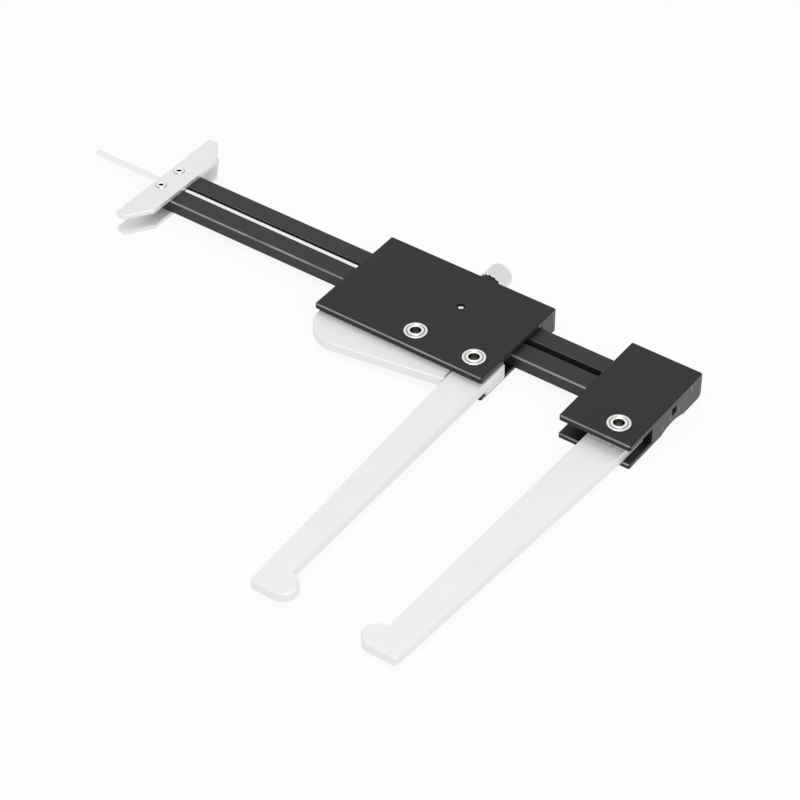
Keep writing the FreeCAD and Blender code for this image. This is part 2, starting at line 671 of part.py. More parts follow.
def make_lever():
    """Release lever: a round palm outside the housing, a pivot boss and a nose against the arm."""
    body = new_body("release_lever")
    sketch = new_sketch(body, "lever_outline", "XY_Plane", LEVER_LOW)
    up = Vector(0, 0, 1)
    palm_r, nose_r, boss_r = value("sizes.palm_radius"), value("sizes.nose_radius"), value("sizes.lever_boss")
    palm = Vector(-value("sizes.palm_centre_x"), -value("sizes.palm_centre_y"), 0)
    nose = Vector(value(NOSE_X), -value("sizes.nose_y"), 0)
    between = nose - palm
    slope = math.atan2(between.y, between.x) + math.asin((palm_r - nose_r) / between.Length)
    flank_x, back_y = value(FLANK_X), value("sizes.lever_back")
    palm_back = -value("sizes.palm_back")
    palm_start = math.pi - math.asin((palm_back - palm.y) / palm_r)
    nose_end = math.acos((flank_x - nose.x) / nose_r)
    boss_start = math.asin(back_y / boss_r)
    palm_point = Vector(palm.x + palm_r * math.cos(palm_start), palm_back, 0)
    boss_end = math.atan2(palm_point.y, palm_point.x) % (2 * math.pi) - math.acos(boss_r / palm_point.Length)
    touch = Vector(math.sin(slope), -math.cos(slope), 0)
    boss_leave = Vector(math.cos(boss_end), math.sin(boss_end), 0) * boss_r
    nose_top = nose + Vector(math.cos(nose_end), math.sin(nose_end), 0) * nose_r
    corner = Vector(value(FLANK_TOP_X), back_y, 0)
    boss_meet = Vector(boss_r * math.cos(boss_start), back_y, 0)
    turn = 3 * math.pi / 2 + slope
    palm_arc = sketch.addGeometry(Part.ArcOfCircle(Part.Circle(palm, up, palm_r), palm_start, turn), False)
    front = sketch.addGeometry(Part.LineSegment(palm + touch * palm_r, nose + touch * nose_r), False)
    nose_arc = sketch.addGeometry(
        Part.ArcOfCircle(Part.Circle(nose, up, nose_r), turn - 2 * math.pi, nose_end), False)
    flank = sketch.addGeometry(Part.LineSegment(nose_top, corner), False)
    back = sketch.addGeometry(Part.LineSegment(corner, boss_meet), False)
    boss_arc = sketch.addGeometry(
        Part.ArcOfCircle(Part.Circle(Vector(0, 0, 0), up, boss_r), boss_start, boss_end), False)
    tail = sketch.addGeometry(Part.LineSegment(boss_leave, palm_point), False)
    for first, end, second, start in ((nose_arc, 2, flank, 1), (flank, 2, back, 1), (back, 2, boss_arc, 1),
                                      (tail, 2, palm_arc, 1)):
        sketch.addConstraint(Sketcher.Constraint("Coincident", first, end, second, start))
    for first, end, second, start in ((palm_arc, 2, front, 1), (front, 2, nose_arc, 1),
                                      (boss_arc, 2, tail, 1)):
        sketch.addConstraint(Sketcher.Constraint("Tangent", first, end, second, start))
    index = sketch.addConstraint(Sketcher.Constraint("DistanceX", -1, 1, flank, 1, flank_x))
    sketch.setExpression(f"Constraints[{index}]", FLANK_X)
    sketch.addConstraint(Sketcher.Constraint("Horizontal", back))
    fix_point(sketch, palm_arc, 3, "-sizes.palm_centre_x", "-sizes.palm_centre_y")
    fix_point(sketch, nose_arc, 3, NOSE_X, "-sizes.nose_y")
    sketch.addConstraint(Sketcher.Constraint("Coincident", boss_arc, 3, -1, 1))
    for arc, radius in ((palm_arc, "sizes.palm_radius"), (nose_arc, "sizes.nose_radius"),
                        (boss_arc, "sizes.lever_boss")):
        index = sketch.addConstraint(Sketcher.Constraint("Radius", arc, value(radius)))
        sketch.setExpression(f"Constraints[{index}]", radius)
    fix_point(sketch, flank, 2, FLANK_TOP_X, "sizes.lever_back")
    index = sketch.addConstraint(Sketcher.Constraint("DistanceY", -1, 1, tail, 2, palm_back))
    sketch.setExpression(f"Constraints[{index}]", "-sizes.palm_back")
    pad(body, sketch, "lever_plate", "sizes.lever_thick")
    holes = new_sketch(body, "lever_holes", "XY_Plane", RAIL_TOP)
    draw_circle(holes, "0", "0", PIVOT_HOLE)
    cut(body, holes, "lever_pivot_hole", "sizes.lever_thick")
    hook = new_sketch(body, "lever_hook_circle", "XY_Plane", LEVER_LOW)
    draw_circle(hook, HOOK_X, HOOK_Y, "sizes.spring_wire + 2 * sizes.spring_gap")
    cut(body, hook, "lever_hook_hole", "sizes.spring_hook + 2 * sizes.spring_gap", reverse=True)
    dress(body, "Fillet", "lever_back_corner", "sizes.lever_round",
          upright_at((FLANK_TOP_X, "sizes.lever_back")))
    dress(body, "Chamfer", "lever_edges", "sizes.lever_bevel", outline_only(LEVER_LOW, RAIL_TOP, (
        ("0", "0", PIVOT_HOLE), (HOOK_X, HOOK_Y, "sizes.spring_wire + 2 * sizes.spring_gap"))))
    place(body, LEVER_X)
    return body


def outline_only(low, high, holes):
    """Test for the flat edges of both faces, without the edges of the holes."""
    flat = all_at_height(low, high)
    circles = [(value(x), value(y), value(diameter) / 2 + 0.05) for x, y, diameter in holes]

    def test(middle, ends):
        in_hole = any(math.hypot(middle.x - x, middle.y - y) < radius for x, y, radius in circles)
        return flat(middle, ends) and not in_hole
    return test


def make_lever_spring():
    """Torsion spring round the lever's spacer, under the lever. Six flats stand for its round wire."""
    body = new_body("lever_spring")
    wire = new_sketch(body, "spring_wire_section", "XZ_Plane", "0")
    draw_hexagon(wire, "sizes.spring_radius", SPRING_LOW, "sizes.spring_wire")
    coil = body.newObject("PartDesign::AdditiveHelix", "spring_coil")
    coil.Profile = wire
    coil.ReferenceAxis = (wire, ["V_Axis"])
    coil.Mode = 1
    coil.setExpression("Pitch", "sizes.spring_pitch")
    coil.setExpression("Turns", "sizes.spring_turns")
    doc.recompute()
    long_leg = new_sketch(body, "spring_long_leg_section", "YZ_Plane", "0")
    draw_hexagon(long_leg, "-sizes.spring_radius",
                 f"({SPRING_LOW} + sizes.spring_turns * sizes.spring_pitch)", "sizes.spring_wire")
    pad(body, long_leg, "spring_long_leg", f"{PIN_DISTANCE} - sizes.stop_pin / 4")
    short_leg = new_sketch(body, "spring_short_leg_section", "XZ_Plane", "0")
    draw_hexagon(short_leg, "sizes.spring_radius", SPRING_LOW, "sizes.spring_wire")
    path = new_sketch(body, "spring_hook_path", "YZ_Plane", "sizes.spring_radius")
    draw_bent_path(path, "0", SPRING_LOW, f"-{HOOK_REACH}", f"{LEVER_LOW} + sizes.spring_hook",
                   "sizes.spring_bend", -1)
    sweep(body, short_leg, path, "spring_short_leg")
    body.Placement = Placement(Vector(value(LEVER_X), 0, 0), Rotation(Vector(0, 0, 1), value(SPRING_ANGLE)))
    place(body, LEVER_X)
    body.setExpression("Placement.Rotation.Angle", SPRING_ANGLE)
    return body


def draw_bent_path(sketch, start_x, level, bend_x, end_y, bend, direction):
    """Path of a bent wire: straight along the sketch's X, a quarter round, then straight up."""
    sx, ly, bx, ey, radius = (value(item) for item in (start_x, level, bend_x, end_y, bend))
    centre = Vector(bx - direction * radius, ly + radius, 0)
    straight = sketch.addGeometry(
        Part.LineSegment(Vector(sx, ly, 0), Vector(centre.x, ly, 0)), False)
    angles = (-math.pi / 2, 0) if direction > 0 else (math.pi, 3 * math.pi / 2)
    arc = sketch.addGeometry(
        Part.ArcOfCircle(Part.Circle(centre, Vector(0, 0, 1), radius), *angles), False)
    upright = sketch.addGeometry(
        Part.LineSegment(Vector(bx, centre.y, 0), Vector(bx, ey, 0)), False)
    arc_start, arc_end = (1, 2) if direction > 0 else (2, 1)
    sketch.addConstraint(Sketcher.Constraint("Tangent", straight, 2, arc, arc_start))
    sketch.addConstraint(Sketcher.Constraint("Tangent", arc, arc_end, upright, 1))
    sketch.addConstraint(Sketcher.Constraint("Horizontal", straight))
    sketch.addConstraint(Sketcher.Constraint("Vertical", upright))
    fix_point(sketch, straight, 1, start_x, level)
    fix_point(sketch, upright, 2, bend_x, end_y)
    index = sketch.addConstraint(Sketcher.Constraint("Radius", arc, radius))
    sketch.setExpression(f"Constraints[{index}]", bend)


def sweep(body, profile, path, name):
    """Carry a wire's section along its path."""
    feature = body.newObject("PartDesign::AdditivePipe", name)
    feature.Profile = profile
    feature.Spine = (path, [])
    doc.recompute()
    return feature


def make_depth_rod():
    """Steel rod that lies in the rail's groove and turns up into the housing's top plate."""
    body = new_body("depth_rod")
    tip = f"({RAIL_LEFT} - sizes.rod_reach)"
    circle = new_sketch(body, "rod_circle", "YZ_Plane", tip)
    draw_circle(circle, RAIL_Y, ROD_Z, "sizes.rod_diameter")
    path = new_sketch(body, "rod_path", "XZ_Plane", f"-{RAIL_Y}")
    draw_bent_path(path, tip, ROD_Z, ROD_HOLE_X, f"{TOP} - sizes.rod_end_depth", "sizes.rod_bend", 1)
    sweep(body, circle, path, "rod_bent")
    return body


def make_housing():
    """Carriage housing: two plates and a far wall milled from one bar, open at the front and both ends."""
    body = new_body("carriage_housing")
    sketch = new_sketch(body, "housing_section", "YZ_Plane", CARRIAGE_LEFT)
    draw_polygon(sketch, [
        (FRONT, BOTTOM),
        (BACK, BOTTOM),
        (BACK, TOP),
        (FRONT, TOP),
        (FRONT, CAVITY_TOP),
        (WALL, CAVITY_TOP),
        (WALL, CAVITY_LOW),
        (FRONT, CAVITY_LOW),
    ])
    pad(body, sketch, "housing_bar", "sizes.carriage_length")
    rib = new_sketch(body, "guide_rib_section", "YZ_Plane", f"{CARRIAGE_LEFT} + sizes.rib_setback")
    draw_rectangle(rib, f"{RIB_FAR} - sizes.rib_width", CAVITY_LOW, RIB_FAR, CAVITY_TOP)
    pad(body, rib, "guide_rib", "sizes.carriage_length - 2 * sizes.rib_setback")
    recess = new_sketch(body, "gib_recess_outline", "XZ_Plane", f"-{WALL}")
    draw_rectangle(recess, f"{CARRIAGE_LEFT} + sizes.gib_end - sizes.gib_gap",
                   f"{MIDDLE_OF_RAIL} - sizes.gib_height / 2 - sizes.gib_gap",
                   f"{CARRIAGE_RIGHT} - sizes.gib_end + sizes.gib_gap",
                   f"{MIDDLE_OF_RAIL} + sizes.gib_height / 2 + sizes.gib_gap")
    cut(body, recess, "gib_recess", f"{GIB_BACK} - {WALL}")
    spigot = new_sketch(body, "collar_hole_circle", "XZ_Plane", f"-{BACK}")
    draw_circle(spigot, LOCK_X, MIDDLE, "sizes.spigot_diameter + 2 * sizes.seat_gap")
    cut(body, spigot, "collar_hole", "sizes.spigot_length", reverse=True)
    bore = new_sketch(body, "pad_hole_circle", "XZ_Plane", f"-{BACK}")
    draw_circle(bore, LOCK_X, MIDDLE, "sizes.pad_diameter + 2 * sizes.pad_gap")
    cut(body, bore, "pad_hole", f"{BACK} - {WALL}", reverse=True)
    window = new_sketch(body, "window_outline", "XY_Plane", BOTTOM)
    draw_rectangle(window, f"{WINDOW_X} - sizes.window_length / 2", f"{RAIL_Y} - sizes.window_width / 2",
                   f"{WINDOW_X} + sizes.window_length / 2", f"{RAIL_Y} + sizes.window_width / 2")
    cut(body, window, "scale_window", "sizes.bottom_plate", reverse=True)
    drill_pivot(body, "carriage_pivot", [(ARM_X, "0"), (LEVER_X, "0")])
    pin = new_sketch(body, "stop_pin_circle", "XY_Plane", BOTTOM)
    draw_circle(pin, STOP_X, "sizes.stop_pin_back", "sizes.stop_pin + 2 * sizes.seat_gap")
    cut(body, pin, "stop_pin_hole", "sizes.bottom_plate", reverse=True)
    rod = new_sketch(body, "rod_hole_circle", "XY_Plane", TOP)
    draw_circle(rod, ROD_HOLE_X, RAIL_Y, "sizes.rod_hole")
    cut(body, rod, "rod_hole", "sizes.top_plate")
    window_x, window_y = value(WINDOW_X), value(RAIL_Y)
    half_x = value("sizes.window_length") / 2 + 0.02
    half_y = value("sizes.window_width") / 2 + 0.02
    flat_bottom = all_at_height(BOTTOM)
    dress(body, "Chamfer", "window_bevels", "sizes.window_bevel", lambda middle, ends:
          flat_bottom(middle, ends) and abs(middle.x - window_x) < half_x
          and abs(middle.y - window_y) < half_y)
    round_plates(body, "housing", CARRIAGE_LEFT, CARRIAGE_RIGHT)
    return body


def make_gib_strip():
    """Bronze strip in the far wall's recess that bears on the rail, with a hole for the lock pad."""
    body = new_body("gib_strip")
    sketch = new_sketch(body, "gib_outline", "XZ_Plane", f"-{GIB_FACE}")
    draw_rectangle(sketch, f"{CARRIAGE_LEFT} + sizes.gib_end", f"{MIDDLE_OF_RAIL} - sizes.gib_height / 2",
                   f"{CARRIAGE_RIGHT} - sizes.gib_end", f"{MIDDLE_OF_RAIL} + sizes.gib_height / 2")
    pad(body, sketch, "gib_blank", "sizes.gib_thick", reverse=True)
    hole = new_sketch(body, "gib_hole_circle", "XZ_Plane", f"-{GIB_FACE}")
    draw_circle(hole, LOCK_X, MIDDLE, "sizes.pad_diameter + 4 * sizes.pad_gap")
    cut(body, hole, "gib_hole", "sizes.gib_thick")
    return body


def make_spacer():
    """Sleeve under the lever, which carries it at the arm's level and holds the spring's coil."""
    body = new_body("lever_spacer")
    sketch = new_sketch(body, "spacer_section", "XZ_Plane", "0")
    inner = f"{PIVOT_HOLE} / 2"
    draw_rectangle(sketch, inner, CAVITY_LOW, f"{inner} + sizes.spacer_wall", f"{LEVER_LOW} - sizes.seat_gap")
    revolve(body, sketch, "spacer_turned")
    place(body, LEVER_X)
    return body


def make_stop_pin():
    """Pin in the bottom plate that stops the arm's root when the jaws are square."""
    body = new_body("stop_pin")
    sketch = new_sketch(body, "stop_pin_section", "XZ_Plane", "0")
    low, high = "sizes.stop_pin_inset", RAIL_TOP
    radius, bevel = "sizes.stop_pin / 2", "sizes.stop_pin_bevel"
    draw_polygon(sketch, [("0", low), (f"{radius} - {bevel}", low), (radius, f"{low} + {bevel}"),
                          (radius, f"{high} - {bevel}"), (f"{radius} - {bevel}", high), ("0", high)])
    revolve(body, sketch, "stop_pin_turned")
    place(body, STOP_X, "sizes.stop_pin_back")
    return body


def make_lock_collar():
    """Threaded bush with a round flange outside the far wall."""
    body = new_body("lock_collar")
    sketch = new_sketch(body, "collar_section", "XY_Plane", "0")
    bore = "(sizes.screw_diameter / 2 + sizes.screw_gap)"
    bevel = "sizes.collar_bevel"
    draw_polygon(sketch, [
        (bore, f"{BACK} - sizes.spigot_length"),
        ("sizes.spigot_diameter / 2", f"{BACK} - sizes.spigot_length"),
        ("sizes.spigot_diameter / 2", BACK),
        ("sizes.collar_diameter / 2", BACK),
        ("sizes.collar_diameter / 2", f"{COLLAR_FACE} - {bevel}"),
        (f"sizes.collar_diameter / 2 - {bevel}", COLLAR_FACE),
        (bore, COLLAR_FACE),
    ])
    revolve(body, sketch, "collar_turned")
    place(body, LOCK_X, "0", MIDDLE)
    return body


def make_lock_screw():
    """Threaded shank from inside the knob to the pad, with a narrow tip that turns in the pad."""
    body = new_body("lock_screw")
    sketch = new_sketch(body, "screw_section", "XY_Plane", "0")
    shoulder = f"({PAD_BACK} + sizes.pad_gap)"
    tip = f"({shoulder} - sizes.tip_length)"
    draw_polygon(sketch, [
        ("0", tip),
        ("sizes.tip_diameter / 2", tip),
        ("sizes.tip_diameter / 2", shoulder),
        ("sizes.screw_diameter / 2", shoulder),
        ("sizes.screw_diameter / 2", SCREW_END),
        ("0", SCREW_END),
    ])
    revolve(body, sketch, "screw_turned")
    place(body, LOCK_X, "0", MIDDLE)
    return body


def make_lock_pad():
    """Brass pad that the screw presses against the rail's edge."""
    body = new_body("lock_pad")
    sketch = new_sketch(body, "pad_section", "XY_Plane", "0")
    socket = "(sizes.tip_diameter / 2 + sizes.pad_gap)"
    floor = f"({PAD_BACK} - sizes.tip_length - sizes.pad_gap)"
    draw_polygon(sketch, [
        ("0", PAD_FACE),
        ("sizes.pad_diameter / 2", PAD_FACE),
        ("sizes.pad_diameter / 2", PAD_BACK),
        (socket, PAD_BACK),
        (socket, floor),
        ("0", floor),
    ])
    revolve(body, sketch, "pad_turned")
    place(body, LOCK_X, "0", MIDDLE)
    return body


def make_lock_knob():
    """Fluted knob on the lock screw, with a bevel at both ends."""
    body = new_body("lock_knob")
    sketch = new_sketch(body, "knob_section", "XY_Plane", "0")
    bore = "(sizes.screw_diameter / 2 + sizes.seat_gap)"
    radius, bevel = "sizes.knob_diameter / 2", "sizes.knob_bevel"
    end = f"({KNOB_FACE} + sizes.knob_length)"
    draw_polygon(sketch, [
        (bore, KNOB_FACE),
        (f"{radius} - {bevel}", KNOB_FACE),
        (radius, f"{KNOB_FACE} + {bevel}"),
        (radius, f"{end} - {bevel}"),
        (f"{radius} - {bevel}", end),
        ("0", end),
        ("0", f"{SCREW_END} + sizes.seat_gap"),
        (bore, f"{SCREW_END} + sizes.seat_gap"),
    ])
    revolve(body, sketch, "knob_turned")
    flute = new_sketch(body, "flute_notch", "XZ_Plane", f"-{KNOB_FACE}")
    draw_polygon(flute, [(f"{radius} - sizes.flute_depth", "0"),
                         (f"{radius} + sizes.flute_depth", "-sizes.flute_width"),
                         (f"{radius} + sizes.flute_depth", "sizes.flute_width")])
    groove = cut(body, flute, "first_flute", "sizes.knob_length")
    flutes = body.newObject("PartDesign::PolarPattern", "flutes")
    flutes.Originals = [groove]
    flutes.Axis = (flute, ["N_Axis"])
    flutes.Angle = 360
    flutes.setExpression("Occurrences", "sizes.flute_count")
    body.Tip = flutes
    doc.recompute()
    place(body, LOCK_X, "0", MIDDLE)
    return body


def make_all():
    """Every piece of the tool, each under the label that names its file."""
    pieces = [
        make_rail(),
        make_crosshead_plate("crosshead_upper_plate", RAIL_TOP),
        make_crosshead_plate("crosshead_lower_plate", f"({RAIL_LOW} - sizes.crosshead_plate)"),
        make_crosshead_rivets(),
        make_block(),
        make_clamp_screws(),
        make_pivot_rivet("fixed_arm_rivet", "0"),
        make_housing(),
        make_gib_strip(),
        make_spacer(),
        make_stop_pin(),
        make_pivot_rivet("swing_arm_rivet", ARM_X),
        make_pivot_rivet("lever_rivet", LEVER_X),
        make_depth_rod(),
        make_lever(),
        make_lever_spring(),
        make_lock_collar(),
        make_lock_screw(),
        make_lock_pad(),
        make_lock_knob(),
    ]
    swing_arm = make_arm("swing_arm", "swing")
    place(swing_arm, ARM_X)
    fixed_arm = make_arm("fixed_arm", "fixed")
    fixed_arm.Placement = Placement(Vector(0, 0, 0), Rotation(Vector(0, 1, 0), 180))
    place(fixed_arm, "0", "0", f"{RAIL_LOW} + {RAIL_TOP}")
    return pieces + [swing_arm, fixed_arm]


def check_document():
    """Stop if any object of the document failed to recompute."""
    for item in doc.Objects:
        if "Invalid" in item.State or "Error" in item.State:
            raise RuntimeError(f"{item.Label} failed: {item.State}")


def write_pieces(pieces):
    """Check every piece and write it to its own file."""
    for piece in pieces:
        if piece.Shape.isNull() or not piece.Shape.isValid():
            raise RuntimeError(f"{piece.Label} has no valid shape")
    os.makedirs("parts", exist_ok=True)
    for piece in pieces:
        piece.Shape.exportStep(os.path.join("parts", piece.Label + ".step"))
        box = piece.Shape.BoundBox
        print(f"{piece.Label}: {len(piece.Shape.Solids)} solid, {piece.Shape.Volume:.0f} mm3, "
              f"x {box.XMin:.2f} {box.XMax:.2f}, y {box.YMin:.2f} {box.YMax:.2f}, "
              f"z {box.ZMin:.2f} {box.ZMax:.2f}")


all_pieces = make_all()
doc.recompute()
check_document()
write_pieces(all_pieces)
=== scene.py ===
# %% [markdown]
# # A brake disc measuring caliper
# The tool is a flat anodised bar with a fixed block at one end and a sliding carriage on it. Two long
# arms with round lobes reach past the rim of a brake disc, and a crosshead with a thin rod measures
# depth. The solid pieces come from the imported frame, so this script gives them their surfaces, adds
# the turned and repeated detail, and lights and photographs them.

# %% The frame
import json
import math

import bmesh
import bpy
from mathutils import Matrix, Vector


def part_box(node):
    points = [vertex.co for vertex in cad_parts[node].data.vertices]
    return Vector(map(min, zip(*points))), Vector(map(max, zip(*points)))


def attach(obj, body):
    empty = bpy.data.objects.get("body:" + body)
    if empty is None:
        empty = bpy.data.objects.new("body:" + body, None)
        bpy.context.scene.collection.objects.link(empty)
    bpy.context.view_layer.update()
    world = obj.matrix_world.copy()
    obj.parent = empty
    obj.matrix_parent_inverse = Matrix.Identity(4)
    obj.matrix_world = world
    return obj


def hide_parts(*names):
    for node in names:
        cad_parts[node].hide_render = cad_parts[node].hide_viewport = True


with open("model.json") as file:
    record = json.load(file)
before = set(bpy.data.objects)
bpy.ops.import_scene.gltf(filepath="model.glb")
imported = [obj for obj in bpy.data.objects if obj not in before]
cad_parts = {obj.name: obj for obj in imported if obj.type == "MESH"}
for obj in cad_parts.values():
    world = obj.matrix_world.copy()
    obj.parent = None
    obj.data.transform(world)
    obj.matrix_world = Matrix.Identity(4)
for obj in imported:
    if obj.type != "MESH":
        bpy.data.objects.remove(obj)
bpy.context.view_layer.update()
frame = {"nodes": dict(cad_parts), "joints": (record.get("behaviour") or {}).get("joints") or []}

MM = 0.001

# %% [markdown]
# ## The camera
# The photograph was taken from the arms' side with a long lens. A camera could be turned by hand until
# the render looks like it. Here a perspective camera was fitted to the corners of the plates, the
# rail and the arms, and these few numbers are that camera.

# %% Camera
CAMERA_PLACE = Vector((463.13, -816.44, 846.72)) * MM
CAMERA_AZIMUTH = math.radians(35.402)
CAMERA_ELEVATION = math.radians(41.281)
LENS_MM = 129.13
SENSOR_MM = 36.0

camera_data = bpy.data.cameras.new("camera")
camera_data.lens = LENS_MM
camera_data.sensor_width = SENSOR_MM
camera_data.clip_start, camera_data.clip_end = 0.05, 20.0
camera = bpy.data.objects.new("camera", camera_data)
camera.location = CAMERA_PLACE
camera.rotation_euler = (math.pi / 2 - CAMERA_ELEVATION, 0.0, CAMERA_AZIMUTH)
bpy.context.scene.collection.objects.link(camera)
bpy.context.scene.camera = camera
bpy.context.scene.view_settings.view_transform = "Standard"
print("camera", [round(c, 3) for c in camera.location], "lens", LENS_MM)

# %% [markdown]
# ## Helpers for materials
# Colours are written as the hex values that a picture shows, and one function turns them to the
# linear values that a shader works with. One more function adds a node with its settings and links.

# %% Colours and nodes
def linear(hex_colour):
    """Linear RGBA of an sRGB colour such as "3c3c3d"."""
    channels = [int(hex_colour[i:i + 2], 16) / 255 for i in (0, 2, 4)]
    return [c / 12.92 if c <= 0.04045 else ((c + 0.055) / 1.055) ** 2.4 for c in channels] + [1.0]


def add_node(tree, kind, inputs=None, **settings):
    """Add one node. An input is given a value, or the socket that feeds it."""
    node = tree.nodes.new(kind)
    for name, setting in settings.items():
        setattr(node, name, setting)
    for key, given in (inputs or {}).items():
        if isinstance(given, bpy.types.NodeSocket):
            tree.links.new(given, node.inputs[key])
        else:
            node.inputs[key].default_value = given
    return node


def new_material(name, **shader_inputs):
    """Material with one Principled shader, whose even values are set on its own sockets."""
    material = bpy.data.materials.new(name)
    material.use_nodes = True
    tree = material.node_tree
    shader = tree.nodes["Principled BSDF"]
    for key, given in shader_inputs.items():
        shader.inputs[key.replace("_", " ")].default_value = given
    place = add_node(tree, "ShaderNodeTexCoord").outputs["Object"]
    return material, tree, shader, place


def mm_scale(size_mm):
    """Texture scale at which one feature is this many millimetres across."""
    return 1.0 / (size_mm * MM)


print("a picture's 3d3d3e is, in linear values,", [round(c, 4) for c in linear("3d3d3e")[:3]])

# %% [markdown]
# ## Black anodised aluminium
# Housing, block, rail and collar are milled, bead blasted and anodised black. The oxide is a hard
# clear layer with black dye in its pores: the eye sees a very dark, even colour and a soft grey sheen
# from the blasted grain. Sawn ends are faced with a cutter, whose curved lines stay in the metal; the
# end faces are painted lighter and the lines paler, a painted reflection over the real cutter marks.
# The long edges on the arms' side are broken with a file and rubbed by hands, and their pale bare
# metal is real wear and also a painted highlight, a thin glinting line on those edges only. Real grains
# are about 0.1 mm across, which is too fine to show here, so they are drawn 0.35 mm coarse.

# %% Black anodised aluminium
BLAST_GRAIN_MM = 0.35
HANDLING_MM = 18.0
EDGE_WEAR_AND_GLINT_MM = 0.3
WORN_AND_GLINT_EDGE_NORMAL = (0.0, -math.sqrt(0.5), math.sqrt(0.5))
FACING_LINE_MM = 1.8
FACING_CENTRE_MM = (22.0, 6.5)
FACING_PATCH_MM = 5.0
FACING_ROUGHNESS = 0.3
ROUGHNESS_SPREAD = 0.05
BLAST_DEPTH_MM = 0.03
FACING_DEPTH_MM = 0.06
LARGEST_WEAR_AND_GLINT = 0.9
# Pale bare metal on the edges that face the arms: real wear, and also a painted highlight.
BARE_METAL_AND_GLINT = "c8c8ca"
# Pale colour of the cutter lines on the end faces: a painted reflection over real tool marks.
FACING_LINE_SHEEN = "77777a"


def blasted_oxide(tree, place, first_tone, second_tone):
    """Grain of the blasting, slow marks of handling, and the colour that follows those marks."""
    grain = add_node(tree, "ShaderNodeTexNoise", {
        "Vector": place, "Scale": mm_scale(BLAST_GRAIN_MM), "Detail": 3.0, "Roughness": 0.6})
    handling = add_node(tree, "ShaderNodeTexNoise", {
        "Vector": place, "Scale": mm_scale(HANDLING_MM), "Detail": 4.0, "Roughness": 0.55})
    tone = add_node(tree, "ShaderNodeMix", {
        "Factor": handling.outputs["Fac"], "A": linear(first_tone), "B": linear(second_tone)},
        data_type="RGBA")
    return grain.outputs["Fac"], handling.outputs["Fac"], tone.outputs[2]


